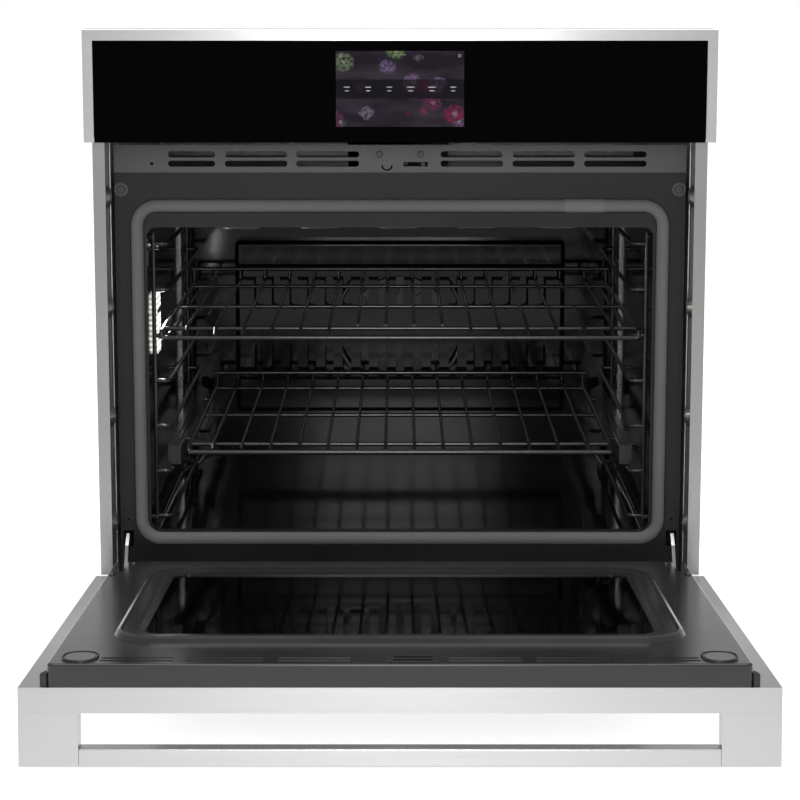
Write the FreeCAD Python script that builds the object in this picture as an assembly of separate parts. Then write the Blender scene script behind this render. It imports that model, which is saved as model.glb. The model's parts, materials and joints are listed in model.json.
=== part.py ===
"""A 30-inch built-in single wall oven with a drop-down door, in millimetres.

Frame: the origin is the centre of the chassis base, +Z is up and the front faces -Y.
Places are given as (x, depth, z), where depth is measured back from the chassis front
plane, so a negative depth stands out towards the user.
The door is drawn closed and then opened about its hinge pins, which is the rest pose.
"""
import FreeCAD
import Part
import math
import os

os.makedirs("parts", exist_ok=True)

# ---- overall size -------------------------------------------------------------------
OVERALL_HEIGHT = 737.0
PANEL_HALF = 381.0            # half the width of the control panel and the door
CHASSIS_DEPTH = 590.0
CHASSIS_HALF = 358.8
CHASSIS_TOP = 716.0
FRONT = -CHASSIS_DEPTH / 2.0
SHEET = 1.2
THIN_SHEET = 1.0
BASE_SHEET = 1.5
SIDE_SCREWS = [(depth, z) for depth in (52.0, 300.0, 560.0) for z in (40.0, 360.0, 690.0)]
BACK_SCREWS = [(x, z) for x in (-330.0, 0.0, 330.0) for z in (30.0, 690.0)]
SCREW_CLEARANCE = 2.0         # radius of a screw's hole

# ---- pressed grooves and louvres of the outer panels --------------------------------
BEAD_DEPTH = 0.5
BEAD_WIDTH = 9.0
SIDE_BEADS = (150.0, 270.0, 430.0, 540.0)
SIDE_LOUVRES = 9
SIDE_LOUVRE_FIRST = 390.0
SIDE_LOUVRE_PITCH = 16.0
SIDE_LOUVRE_WIDTH = 6.0
SIDE_LOUVRE_ENDS = (590.0, 680.0)
BACK_BEADS = (90.0, 140.0, 480.0, 530.0)
BACK_LOUVRES = 8
BACK_LOUVRE_X = 110.0
BACK_LOUVRE_HALF = 45.0
BACK_LOUVRE_FIRST = 575.0
BACK_LOUVRE_PITCH = 13.0
BACK_LOUVRE_HEIGHT = 5.0
TOP_BEADS = (-240.0, -80.0, 80.0, 240.0)

# ---- supply entry -------------------------------------------------------------------
CONDUIT_X = 250.0
CONDUIT_Z = 655.0
CONDUIT_BORE = 10.7
CONDUIT_WALL = 2.2
CONDUIT_LIP = 7.0
CONDUIT_INSIDE = 18.0         # how far the gland reaches in front of the back panel
CONDUIT_OUTSIDE = 4.0
CONDUIT_NUT = 3.0

# ---- control panel ------------------------------------------------------------------
CONTROL_BOTTOM = 601.0
CONTROL_FRONT = -59.0
CONTROL_SIDE_BAND = 12.3
CONTROL_TOP_BAND = 14.0
GLASS = 4.0
DISPLAY_HALF = 77.0
DISPLAY_BOTTOM = 620.0
DISPLAY_TOP = 710.6
DISPLAY_RIM = 9.0
DISPLAY_CASING = 8.0
BOARD_DEPTH = -34.0
BOARD_HALF = 150.0
BOARD_THICK = 1.6
BOARD_BOTTOM = 612.0
BRACKET_DEPTH = -8.0
BRACKET_POST_X = 142.0
BRACKET_POST_ROWS = (618.0, 710.0)
BRACKET_TAB_X = 345.0

# ---- front frame and cavity ---------------------------------------------------------
FRAME_HALF = 353.0
FRAME_BOTTOM = 25.0
FRAME_TOP = 559.7
VENT_TOP = 594.0
MOUTH_HALF = 314.0
MOUTH_BOTTOM = 107.0
MOUTH_TOP = 492.0
MOUTH_CORNER = 12.0
CAVITY_HALF = 318.0
CAVITY_BOTTOM = 100.0
CAVITY_TOP = 502.0
CAVITY_FRONT = 9.5
CAVITY_BACK = 515.0
INSULATION = 14.0
BAKE_ROOM = 13.0             # height under the cavity floor for the hidden element
CAVITY_CORNER = 12.0
FRAME_STUDS = [(-344.5, 0, 539.0), (344.5, 0, 539.0)]
VENT_SLOTS = [(-286, -228), (-216, -139), (-128, -50.5), (50, 127), (138.6, 215.5), (227, 304)]
VENT_ROWS = (582.4, 570.9)
VENT_SLOT_HEIGHT = 7.5
VENT_SCREWS = [(-25.5, 0, 582.7), (25.5, 0, 582.7)]
HOOK_SLOT = (4.4, 34.4, 567.5, 573.0)
LANCE = (-16.0, 569.0)
LANCE_RADIUS = 7.0

# ---- door gasket --------------------------------------------------------------------
GASKET_RADIUS = 8.0
GASKET_HALF = 325.7
GASKET_BOTTOM = 97.0
GASKET_TOP = 519.0
GASKET_CORNER = 25.0
GASKET_DEPTH = -0.3
GROOVE_DEPTH = 8.5
GROOVE_CLEARANCE = 0.6

# ---- rack supports and racks --------------------------------------------------------
RUNG_COUNT = 7
RUNG_FIRST = 118.8
RUNG_PITCH = 58.25
RUNG_WIRE = 2.75
LADDER_POST_X = 309.7
LADDER_RUNG_X = 291.0
LADDER_FRONT = 30.0
LADDER_BACK = 462.0
RACK_BAR = 3.0
RACK_WIRE = 2.0
CROSS_BAR = 2.7
RACK_FRONT = 21.5
RACK_SECOND = 47.0
RACK_BACK = 470.0
SLIDE_GAP = 0.35
UPPER_RUNG = 4
LOWER_RUNG = 1
LADDER_ENDS = (RUNG_FIRST - 12.0, RUNG_FIRST + (RUNG_COUNT - 1) * RUNG_PITCH + 14.0)
LADDER_PADS = (LADDER_ENDS[0] + 10.0, LADDER_ENDS[1] - 5.0)
CROSS_BARS = (RACK_SECOND, 240.0, 443.0)
WIRE_LIFT = RACK_BAR + RACK_WIRE - 0.8
UPPER_Z = RUNG_FIRST + UPPER_RUNG * RUNG_PITCH + RUNG_WIRE + RACK_BAR + SLIDE_GAP
UPPER_HALF = 300.0
UPPER_PITCH = 35.8
UPPER_WIRES = 8
UPPER_DROP = 8.0
BACKSTOP = 22.0
LOWER_BLOCK_BOTTOM = RUNG_FIRST + LOWER_RUNG * RUNG_PITCH + RUNG_WIRE + SLIDE_GAP
LOWER_Z = LOWER_BLOCK_BOTTOM + 28.0
LOWER_HALF = 268.0
LOWER_PITCH = 36.5
LOWER_WIRES = 7
LOWER_DROP = 5.0
LOWER_BACKSTOP = 18.0
LOWER_FOOT = 2.3              # wire radius of the lower rack's feet and hangers
GLIDE_FRONT = 56.0
GLIDE_BACK = 478.0
GLIDE_X = 289.5
GLIDE_REACH = 8.5
GLIDE_STEP = 1.7              # how much smaller each slide member is than the one round it
GLIDE_HEIGHT = 26.0
BAFFLE_FRONT = 426.0
BAFFLE_BACK = 500.0
BAFFLE_BOTTOM = 120.0
BAFFLE_TOP = 480.0
BAFFLE_STAND_OFF = 3.2

# ---- door, in the closed position ---------------------------------------------------
PIVOT_DEPTH = -48.3
PIVOT_Z = 42.2
OPEN_ANGLE = 85.92
DOOR_BOTTOM = 27.0
DOOR_TOP = 597.0
DOOR_FRONT = -59.0
SKIN_BACK = -33.0
LINER_FACE = -9.0
LINER_HALF = 352.0
LINER_BOTTOM = 54.0
WINDOW_HALF = 269.0
WINDOW_BOTTOM = 155.0
WINDOW_TOP = 474.0
WINDOW_CORNER = 18.0
RING_WIDTH = 33.0
RING_PROFILE = [(33.0, 0.0), (30.0, 4.6), (26.5, 6.6), (23.0, 5.0), (12.0, 5.4), (8.5, 3.8), (0.0, 2.6)]
DOOR_VENTS = [(-301, -227), (-215, -135), (-125, -47), (46, 125), (134, 213), (222, 301.5)]
DOOR_VENT_ROWS = (583.0, 571.5)
DOOR_SCREWS = [(side * x, z) for side in (-1, 1) for x, z in ((328.0, 72.0), (346.0, 140.0))]
STRIKE = (-12.5, 38.6, 561.0, 594.0)
LATCH_SLOTS = (570.5, 583.0)
PAD = (303.5, 340.5, 547.0, 590.0)
PAD_HEIGHT = 1.3
PAD_GROOVE_INSET = (2.2, 3.6)   # the groove that outlines each pad runs between these distances from its rim
PAD_GROOVE_DEPTH = 0.6
STRIKE_RIB_WIDTH = 1.8
STRIKE_RIB_HEIGHT = 1.2
HANDLE_FRONT = -114.0
HANDLE_GAP_FRONT = -95.5
HANDLE_BOTTOM = 577.0
HANDLE_END = 321.0
SEAM = 0.4

# ---- hinges -------------------------------------------------------------------------
HINGE_X = 343.0
PIN_RADIUS = 3.5
RUNNING_CLEARANCE = 0.05
HINGE_SLOT_BOTTOM = 87.0
HINGE_SLOT_TOP = 107.0
HINGE_SLOT_HALF = 6.5

# ---- side trims and their mounting holes --------------------------------------------
TRIM_WEB = 360.0
TRIM_OUTER = 375.0
TRIM_FRONT = -30.0
TRIM_BACK = 37.0
TRIM_BOTTOM = 57.0
TRIM_TOP = 599.0
DIMPLE_FIRST = 120.5
DIMPLE_PITCH = 137.03
DIMPLE_COUNT = 4
DIMPLE_REACH = 4.8
DIMPLE_DEPTH = -14.0
DIMPLE_BASE = 14.5
DIMPLE_CROWN = 8.0
BOTTOM_TRIM = (0.5, 22.0)
BOTTOM_VENTS = 6              # openings on each side of the middle one
BOTTOM_VENT_PITCH = 50.0
BOTTOM_VENT_HALF = 18.0
MOUNT_HOLE_RADIUS = 2.6

# ---- convection fan -----------------------------------------------------------------
FAN_Z = 292.0
FAN_RADIUS = 72.0
FAN_BLADES = 12
COVER_HALF = 242.0
COVER_BOTTOM = 165.0
COVER_TOP = 419.0
COVER_FRONT = 487.0
COVER_CORNER = 7.0
COVER_SLOT_PITCH = 26.0
COVER_SLOT_HALF = 6.3
COVER_SLOT_ROWS = ((217.0, 267.0), (318.0, 368.0))
SHAFT_RADIUS = 4.0
MOTOR_FRONT = CAVITY_BACK + 10.0
MOTOR_RADIUS = 27.0

# ---- heating, lamp and sensing ------------------------------------------------------
BROIL_Z = 484.0
BROIL_LOOPS = 5
BAKE_Z = 91.0
ELEMENT_RADIUS = 3.3
ELEMENT_TERMINALS = 150.0
RING_ELEMENT_RADIUS = 95.0
RING_ELEMENT_WIRE = 3.5
SENSOR_X = 215.0
SENSOR_Z = 455.0
LAMP_WINDOW = (91.0, 135.0, 317.0, 395.0)
LAMP_BOX_WALL = -352.0
PROBE_DEPTH = 42.0
PROBE_Z = 465.0

# ---- cooling blower -----------------------------------------------------------------
DECK_Z = 536.0
BLOWER_DEPTH = 420.0
BLOWER_RADIUS = 55.0
BLOWER_BLADES = 24
BLOWER_BASE = DECK_Z + SHEET
BLOWER_HEIGHT = 62.0
BLOWER_SHAFT = 3.0

# ---- door lock ----------------------------------------------------------------------
HOOK_X = 28.6
HOOK_DEPTH = 6.0
HOOK_INNER = 19.5
HOOK_OUTER = 24.0
HOOK_Z = 568.5
HOOK_THICK = 3.5
HOOK_START = 172.0            # where the hook's arc ends when it is drawn in, in degrees
HOOK_SWEEP = 76.0
LOCK_BASE_Z = 563.0
LOCK_PIN_RADIUS = 1.9

UP = FreeCAD.Vector(0, 0, 1)
ACROSS = FreeCAD.Vector(1, 0, 0)
BACK = FreeCAD.Vector(0, 1, 0)
ORIGIN = FreeCAD.Vector(0, 0, 0)


# ---- shape helpers ------------------------------------------------------------------
def place(x, depth, z):
    """The point that stands this far behind the chassis front plane."""
    return FreeCAD.Vector(x, FRONT + depth, z)


def block(x0, x1, d0, d1, z0, z1):
    return Part.makeBox(x1 - x0, d1 - d0, z1 - z0, place(x0, d0, z0))


def disc(centre, radius, length, axis):
    """A cylinder of this length that starts at centre and runs along axis."""
    return Part.makeCylinder(radius, length, place(*centre), axis)


def edges_along(shape, axis):
    """The straight edges that run along axis."""
    found = []
    for edge in shape.Edges:
        if edge.Curve.TypeId == "Part::GeomLine" and abs(edge.Curve.Direction.dot(axis)) > 0.999:
            found.append(edge)
    return found


def rounded(x0, x1, d0, d1, z0, z1, radius, axis):
    """A block whose edges along axis are rounded."""
    shape = block(x0, x1, d0, d1, z0, z1)
    return shape.makeFillet(radius, edges_along(shape, axis))


def plate(x0, x1, z0, z1, radius, d0, d1):
    """An upright plate with rounded corners, seen from the front."""
    return rounded(x0, x1, d0, d1, z0, z1, radius, BACK)


def slot(x0, x1, z_middle, height, d0, d1):
    """A level slot with round ends that runs through from d0 to d1."""
    return plate(x0, x1, z_middle - height / 2.0, z_middle + height / 2.0, height * 0.499, d0, d1)


def mirrored(shape):
    return shape.mirror(ORIGIN, ACROSS)


def pair(shape):
    """A piece and its twin on the other side of the oven."""
    return Part.makeCompound([shape, mirrored(shape)])


def joined(shapes):
    """One body made of shapes that overlap or meet face to face."""
    return shapes[0].multiFuse(shapes[1:]).removeSplitter()


def bent_rod(points, radius, bend):
    """A round rod along straight runs joined by tangent bends."""
    corners = [place(*p) for p in points]
    start = corners[0]
    edges = []
    for before, corner, after in zip(corners, corners[1:], corners[2:]):
        arriving = (corner - before).normalize()
        leaving = (after - corner).normalize()
        half_turn = arriving.getAngle(leaving) / 2.0
        reach = bend * math.tan(half_turn)
        bend_start = corner - arriving * reach
        bend_end = corner + leaving * reach
        inward = (leaving - arriving).normalize()
        bend_middle = corner + inward * (bend / math.cos(half_turn) - bend)
        edges.append(Part.makeLine(start, bend_start))
        edges.append(Part.Arc(bend_start, bend_middle, bend_end).toShape())
        start = bend_end
    edges.append(Part.makeLine(start, corners[-1]))
    section = Part.Wire(Part.makeCircle(radius, corners[0], corners[1] - corners[0]))
    return Part.Wire(edges).makePipeShell([section], True, False)


def pan_screw(x, depth, z, axis, head=4.0, shank=1.9, length=5.0):
    """A cross-recess screw whose head stands out against axis and whose shank follows it."""
    thickness = head * 0.55
    away = FreeCAD.Vector(axis) * -thickness
    top = place(x, depth, z) + away
    cap = Part.makeCylinder(head, thickness, top, axis)
    circles = [e for e in cap.Edges if e.Curve.TypeId == "Part::GeomCircle"]
    rim = [e for e in circles if (e.Curve.Center - top).Length < 0.01]
    cap = cap.makeFillet(thickness * 0.45, rim)
    body = cap.fuse(Part.makeCylinder(shank, length, place(x, depth, z), axis))
    recess = head * 0.22
    for turned in (0.0, 90.0):
        corner = FreeCAD.Vector(-head * 0.55, -recess / 2.0, 0)
        bar = Part.makeBox(head * 1.1, recess, thickness * 0.6, corner)
        bar.rotate(ORIGIN, UP, turned)
        bar.Placement = FreeCAD.Placement(top, FreeCAD.Rotation(UP, axis)).multiply(bar.Placement)
        body = body.cut(bar)
    return body


def drilled(shape, centres, radius, axis, reach=8.0):
    """The shape with round clearance holes through it at these places."""
    for x, depth, z in centres:
        start = place(x, depth, z) - FreeCAD.Vector(axis) * (reach / 2.0)
        shape = shape.cut(Part.makeCylinder(radius, reach, start, axis))
    return shape


def opened(shape):
    """The closed door's piece, swung down to where the open door rests."""
    turned = shape.copy()
    turned.rotate(place(0, PIVOT_DEPTH, PIVOT_Z), ACROSS, OPEN_ANGLE)
    return turned


# ---- chassis ------------------------------------------------------------------------
def base_panel():
    return block(-CHASSIS_HALF, CHASSIS_HALF, 0, CHASSIS_DEPTH, 0, BASE_SHEET)


def side_panel():
    """The right side sheet, with level grooves that stiffen it and louvres beside the blower."""
    panel = block(CHASSIS_HALF - SHEET, CHASSIS_HALF, BASE_SHEET, CHASSIS_DEPTH - BASE_SHEET,
                  BASE_SHEET, CHASSIS_TOP - SHEET)
    low, high = SIDE_LOUVRE_ENDS
    for row in range(SIDE_LOUVRES):
        depth = SIDE_LOUVRE_FIRST + row * SIDE_LOUVRE_PITCH
        slot = block(CHASSIS_HALF - 3, CHASSIS_HALF + 3, depth, depth + SIDE_LOUVRE_WIDTH, low, high)
        panel = panel.cut(slot)
    for z in SIDE_BEADS:
        panel = panel.cut(rounded(CHASSIS_HALF - BEAD_DEPTH, CHASSIS_HALF + 1, 80, CHASSIS_DEPTH - 80,
                                  z, z + BEAD_WIDTH, BEAD_WIDTH * 0.49, ACROSS))
    holes = [(CHASSIS_HALF, depth, z) for depth, z in SIDE_SCREWS]
    return drilled(panel, holes, SCREW_CLEARANCE, ACROSS)


def back_panel():
    back = block(-CHASSIS_HALF + SHEET, CHASSIS_HALF - SHEET, CHASSIS_DEPTH - SHEET, CHASSIS_DEPTH,
                 BASE_SHEET, CHASSIS_TOP - SHEET)
    for side in (-1, 1):
        middle = side * BACK_LOUVRE_X
        for row in range(BACK_LOUVRES):
            z = BACK_LOUVRE_FIRST + row * BACK_LOUVRE_PITCH
            back = back.cut(block(middle - BACK_LOUVRE_HALF, middle + BACK_LOUVRE_HALF, CHASSIS_DEPTH - 4,
                                  CHASSIS_DEPTH + 4, z, z + BACK_LOUVRE_HEIGHT))
    for z in BACK_BEADS:
        back = back.cut(slot(-280, 280, z, BEAD_WIDTH, CHASSIS_DEPTH - BEAD_DEPTH, CHASSIS_DEPTH + 1))
    back = drilled(back, [(x, CHASSIS_DEPTH, z) for x, z in BACK_SCREWS], SCREW_CLEARANCE, BACK)
    return drilled(back, [(CONDUIT_X, CHASSIS_DEPTH, CONDUIT_Z)], CONDUIT_BORE + 2.5, BACK)


def top_panel():
    top = block(-CHASSIS_HALF, CHASSIS_HALF, 0, CHASSIS_DEPTH, CHASSIS_TOP - SHEET, CHASSIS_TOP)
    for x in TOP_BEADS:
        top = top.cut(rounded(x, x + BEAD_WIDTH, 70, CHASSIS_DEPTH - 70, CHASSIS_TOP - BEAD_DEPTH,
                              CHASSIS_TOP + 1, BEAD_WIDTH * 0.49, UP))
    return top


def groove_outline(grow, d0, d1):
    """A rounded block that follows the gasket's outline, grown outwards by this much."""
    return plate(-GASKET_HALF - grow, GASKET_HALF + grow, GASKET_BOTTOM - grow, GASKET_TOP + grow,
                 GASKET_CORNER + grow, d0, d1)


def front_frame():
    wall = GASKET_RADIUS + GROOVE_CLEARANCE
    frame = plate(-FRAME_HALF, FRAME_HALF, FRAME_BOTTOM, FRAME_TOP, 1.5, 0, SHEET)
    channel = groove_outline(wall + THIN_SHEET, 0.2, GROOVE_DEPTH + THIN_SHEET)
    channel = channel.cut(groove_outline(-wall - THIN_SHEET, -1, 20))
    frame = frame.fuse(channel)
    groove = groove_outline(wall, -1, GROOVE_DEPTH).cut(groove_outline(-wall, -2, 20))
    frame = frame.cut(groove)
    frame = frame.cut(plate(-MOUTH_HALF, MOUTH_HALF, MOUTH_BOTTOM, MOUTH_TOP, MOUTH_CORNER, -1, 20))
    lip = block(-MOUTH_HALF + 14, MOUTH_HALF - 14, SHEET, CAVITY_FRONT, MOUTH_TOP, MOUTH_TOP + SHEET)
    frame = frame.fuse(lip)
    for side in (-1, 1):
        middle = side * HINGE_X
        frame = frame.cut(block(middle - HINGE_SLOT_HALF, middle + HINGE_SLOT_HALF, -1, 5,
                                HINGE_SLOT_BOTTOM, HINGE_SLOT_TOP))
        for edge in (-HINGE_SLOT_HALF, HINGE_SLOT_HALF - 0.8):
            frame = frame.cut(block(middle + edge, middle + edge + 0.8, -1, 0.6, HINGE_SLOT_TOP + 1, 489.5))
        frame = frame.cut(block(middle - HINGE_SLOT_HALF, middle + HINGE_SLOT_HALF, -1, 0.6, 488.7, 489.5))
        frame = frame.cut(disc((middle, -2, 121.0), 1.6, 6, BACK))
    frame = drilled(frame, FRAME_STUDS, 3.1, BACK)
    return frame.removeSplitter()


def vent_panel():
    panel = block(-FRAME_HALF, FRAME_HALF, 0, SHEET, FRAME_TOP + 0.3, VENT_TOP)
    for x0, x1 in VENT_SLOTS:
        for row in VENT_ROWS:
            panel = panel.cut(slot(x0, x1, row, VENT_SLOT_HEIGHT, -2, 4))
    x0, x1, z0, z1 = HOOK_SLOT
    panel = panel.cut(block(x0, x1, -2, 4, z0, z1))
    panel = panel.cut(disc((-306, -2, VENT_ROWS[1]), SCREW_CLEARANCE, 6, BACK))
    x, z = LANCE
    lance = disc((x, -2, z), LANCE_RADIUS, 6, BACK).cut(disc((x, -3, z), LANCE_RADIUS - 2, 8, BACK))
    panel = panel.cut(lance.cut(block(x - 14, x + 14, -3, 6, z, z + 20)))
    return drilled(panel, VENT_SCREWS, SCREW_CLEARANCE, BACK)


def cavity_liner():
    outer = rounded(-CAVITY_HALF - SHEET, CAVITY_HALF + SHEET, CAVITY_FRONT, CAVITY_BACK + SHEET,
                    CAVITY_BOTTOM - SHEET, CAVITY_TOP + SHEET, CAVITY_CORNER + SHEET, BACK)
    inner = rounded(-CAVITY_HALF, CAVITY_HALF, CAVITY_FRONT + SHEET, CAVITY_BACK,
                    CAVITY_BOTTOM, CAVITY_TOP, CAVITY_CORNER, BACK)
    liner = outer.cut(inner)
    liner = liner.cut(rounded(-CAVITY_HALF, CAVITY_HALF, CAVITY_FRONT - 1, CAVITY_FRONT + 2 * SHEET,
                              CAVITY_BOTTOM, MOUTH_TOP + SHEET, CAVITY_CORNER - 1, BACK))
    d0, d1, z0, z1 = LAMP_WINDOW
    liner = liner.cut(block(-CAVITY_HALF - 5, -CAVITY_HALF + 5, d0, d1, z0, z1))
    liner = drilled(liner, [(-CAVITY_HALF, PROBE_DEPTH, PROBE_Z)], 6.2, ACROSS)
    back_holes = [(0, CAVITY_BACK, FAN_Z)]
    back_holes += [(side * ELEMENT_TERMINALS / 10.0, CAVITY_BACK, FAN_Z - 95.0) for side in (-1, 1)]
    back_holes += [(side * ELEMENT_TERMINALS, CAVITY_BACK, BROIL_Z) for side in (-1, 1)]
    back_holes += [(SENSOR_X, CAVITY_BACK, SENSOR_Z)]
    return drilled(liner, back_holes, 6.5, BACK)


def cavity_insulation():
    gap = 1.5
    inner = block(-CAVITY_HALF - SHEET - gap, CAVITY_HALF + SHEET + gap, 0, CAVITY_BACK + SHEET + gap,
                  CAVITY_BOTTOM - SHEET - gap - BAKE_ROOM, CAVITY_TOP + SHEET + gap)
    half = CAVITY_HALF + SHEET + gap + INSULATION
    outer = block(-half, half, 14, CAVITY_BACK + SHEET + gap + INSULATION, 68, CAVITY_TOP + 27)
    wool = outer.cut(inner)
    d0, d1, z0, z1 = LAMP_WINDOW
    wool = wool.cut(block(-350, -310, d0 - 12, d1 + 12, z0 - 12, z1 + 12))
    wool = wool.cut(block(-350, -310, 0, PROBE_DEPTH + 14, PROBE_Z - 14, PROBE_Z + 14))
    holes = [(0, 66.0, FAN_Z), (SENSOR_X, 9.0, SENSOR_Z), (0, 22.0, FAN_Z - 95.0)]
    holes += [(side * ELEMENT_TERMINALS, 9.0, BROIL_Z) for side in (-1, 1)]
    for x, radius, z in holes:
        wool = wool.cut(disc((x, CAVITY_BACK, z), radius, 60, BACK))
    return wool


def door_gasket():
    """The woven tube that rings the mouth, made of four quarters that meet half-way along each side."""
    middle = (GASKET_BOTTOM + GASKET_TOP) / 2.0
    quarters = []
    for z in (GASKET_TOP, GASKET_BOTTOM):
        for side in (-1, 1):
            x = side * GASKET_HALF
            points = [(0, GASKET_DEPTH, z), (x, GASKET_DEPTH, z), (x, GASKET_DEPTH, middle)]
            quarters.append(bent_rod(points, GASKET_RADIUS, GASKET_CORNER))
    return joined(quarters)


def gasket_joiner():
    sleeve = disc((203.5, GASKET_DEPTH, GASKET_TOP), GASKET_RADIUS + 0.35, 49.5, ACROSS)
    return sleeve.cut(disc((200, GASKET_DEPTH, GASKET_TOP), GASKET_RADIUS + 0.02, 60, ACROSS))


def side_trim():
    """The right flange strip, with cone-shaped dimples round the holes that fix the oven to a cabinet."""
    web = block(TRIM_WEB, TRIM_WEB + SHEET, TRIM_FRONT, TRIM_BACK, TRIM_BOTTOM, TRIM_TOP)
    flange = block(TRIM_WEB, TRIM_OUTER, TRIM_FRONT, TRIM_FRONT + SHEET, TRIM_BOTTOM, TRIM_TOP)
    trim = web.fuse(flange).removeSplitter()
    for row in range(DIMPLE_COUNT):
        z = DIMPLE_FIRST + row * DIMPLE_PITCH
        crown = place(TRIM_WEB - DIMPLE_REACH, DIMPLE_DEPTH, z)
        trim = trim.fuse(Part.makeCone(DIMPLE_CROWN, DIMPLE_BASE, DIMPLE_REACH, crown, ACROSS))
        floor = crown + ACROSS * SHEET
        trim = trim.cut(Part.makeCone(DIMPLE_CROWN - SHEET, DIMPLE_BASE - SHEET, DIMPLE_REACH, floor, ACROSS))
        trim = trim.cut(disc((TRIM_WEB - 10, DIMPLE_DEPTH, z), MOUNT_HOLE_RADIUS, 20, ACROSS))
    return trim


def bottom_vent_trim():
    z0, z1 = BOTTOM_TRIM
    face = block(-TRIM_OUTER, TRIM_OUTER, TRIM_FRONT, TRIM_FRONT + SHEET, z0, z1)
    shelf = block(-TRIM_OUTER, TRIM_OUTER, TRIM_FRONT, -0.2, z1 - SHEET, z1)
    foot = block(-TRIM_OUTER, TRIM_OUTER, TRIM_FRONT, -0.2, z0, z0 + SHEET)
    trim = face.fuse([shelf, foot]).removeSplitter()
    for column in range(-BOTTOM_VENTS, BOTTOM_VENTS + 1):
        x = column * BOTTOM_VENT_PITCH
        slot = block(x - BOTTOM_VENT_HALF, x + BOTTOM_VENT_HALF, TRIM_FRONT - 3, TRIM_FRONT + 3, 8, 13)
        trim = trim.cut(slot)
    return trim


# ---- control panel and electronics --------------------------------------------------
def control_panel_frame():
    outer = block(-PANEL_HALF, PANEL_HALF, CONTROL_FRONT, -1, CONTROL_BOTTOM, OVERALL_HEIGHT)
    top_edges = [e for e in edges_along(outer, ACROSS) if e.CenterOfMass.z > OVERALL_HEIGHT - 1]
    outer = outer.makeChamfer(1.2, [e for e in top_edges if e.CenterOfMass.y < FRONT - 30])
    inside_half = PANEL_HALF - SHEET
    hollow = block(-inside_half, inside_half, CONTROL_FRONT + SHEET, 5, 0, OVERALL_HEIGHT - SHEET)
    glass_half = PANEL_HALF - CONTROL_SIDE_BAND
    window = block(-glass_half, glass_half, CONTROL_FRONT - 5, CONTROL_FRONT + 5, 0,
                   OVERALL_HEIGHT - CONTROL_TOP_BAND)
    return outer.cut(hollow).cut(window)


def control_glass():
    half = PANEL_HALF - CONTROL_SIDE_BAND - 0.3
    top = OVERALL_HEIGHT - CONTROL_TOP_BAND - 0.3
    glass = block(-half, half, CONTROL_FRONT + 0.4, CONTROL_FRONT + 0.4 + GLASS, CONTROL_BOTTOM, top)
    return glass.cut(block(-DISPLAY_HALF, DISPLAY_HALF, CONTROL_FRONT - 5, CONTROL_FRONT + 9,
                           DISPLAY_BOTTOM, DISPLAY_TOP))


def display_module():
    back = CONTROL_FRONT + 0.4 + GLASS
    lens = block(-DISPLAY_HALF + 0.1, DISPLAY_HALF - 0.1, CONTROL_FRONT + 0.5, back,
                 DISPLAY_BOTTOM + 0.1, DISPLAY_TOP - 0.1)
    casing = block(-DISPLAY_HALF - DISPLAY_RIM, DISPLAY_HALF + DISPLAY_RIM, back, back + DISPLAY_CASING,
                   DISPLAY_BOTTOM - DISPLAY_RIM, DISPLAY_TOP + DISPLAY_RIM)
    return lens.fuse(casing)


def control_board():
    """The board with its row of relays below and its row of capacitors above."""
    face = BOARD_DEPTH + BOARD_THICK
    parts = [block(-BOARD_HALF, BOARD_HALF, BOARD_DEPTH, face, BOARD_BOTTOM, CHASSIS_TOP)]
    relay = 22.0
    for column in range(6):
        x = 20.0 - BOARD_HALF + column * 50.0
        parts.append(block(x, x + relay, face, face + 10.4, BOARD_BOTTOM + 13, BOARD_BOTTOM + 13 + relay))
    for column in range(4):
        parts.append(disc((40.0 - BOARD_HALF + column * 70.0, face, CHASSIS_TOP - 26), 8, 12, BACK))
    return joined(parts)


def control_bracket():
    half = PANEL_HALF - 1.4
    parts = [block(-half, half, BRACKET_DEPTH, BRACKET_DEPTH + SHEET, 602, OVERALL_HEIGHT - 1.4)]
    for side in (-1, 1):
        x = side * BRACKET_TAB_X
        parts.append(block(x - 5, x + 5, BRACKET_DEPTH + SHEET, -0.1, 620, 700))
        face = BOARD_DEPTH + BOARD_THICK
        for z in BRACKET_POST_ROWS:
            parts.append(disc((side * BRACKET_POST_X, face, z), 3, BRACKET_DEPTH - face, BACK))
    return joined(parts)


def air_deck():
    deck = block(-350, 350, 14, 575, DECK_Z, DECK_Z + SHEET)
    rims = [block(side * 350 - (SHEET if side > 0 else 0), side * 350 + (SHEET if side < 0 else 0),
                  14, 575, DECK_Z, DECK_Z + 16) for side in (-1, 1)]
    return deck.fuse(rims).removeSplitter()


def conduit_gland():
    start = CHASSIS_DEPTH - CONDUIT_INSIDE
    length = CONDUIT_INSIDE + CONDUIT_OUTSIDE
    tube = disc((CONDUIT_X, start, CONDUIT_Z), CONDUIT_BORE + CONDUIT_WALL, length, BACK)
    lip = disc((CONDUIT_X, start, CONDUIT_Z), CONDUIT_BORE + CONDUIT_LIP, 4, BACK)
    nut = disc((CONDUIT_X, CHASSIS_DEPTH, CONDUIT_Z), CONDUIT_BORE + CONDUIT_LIP - 1, CONDUIT_NUT, BACK)
    bore = disc((CONDUIT_X, start - 10, CONDUIT_Z), CONDUIT_BORE, length + 20, BACK)
    return joined([tube, lip, nut]).cut(bore)


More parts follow.
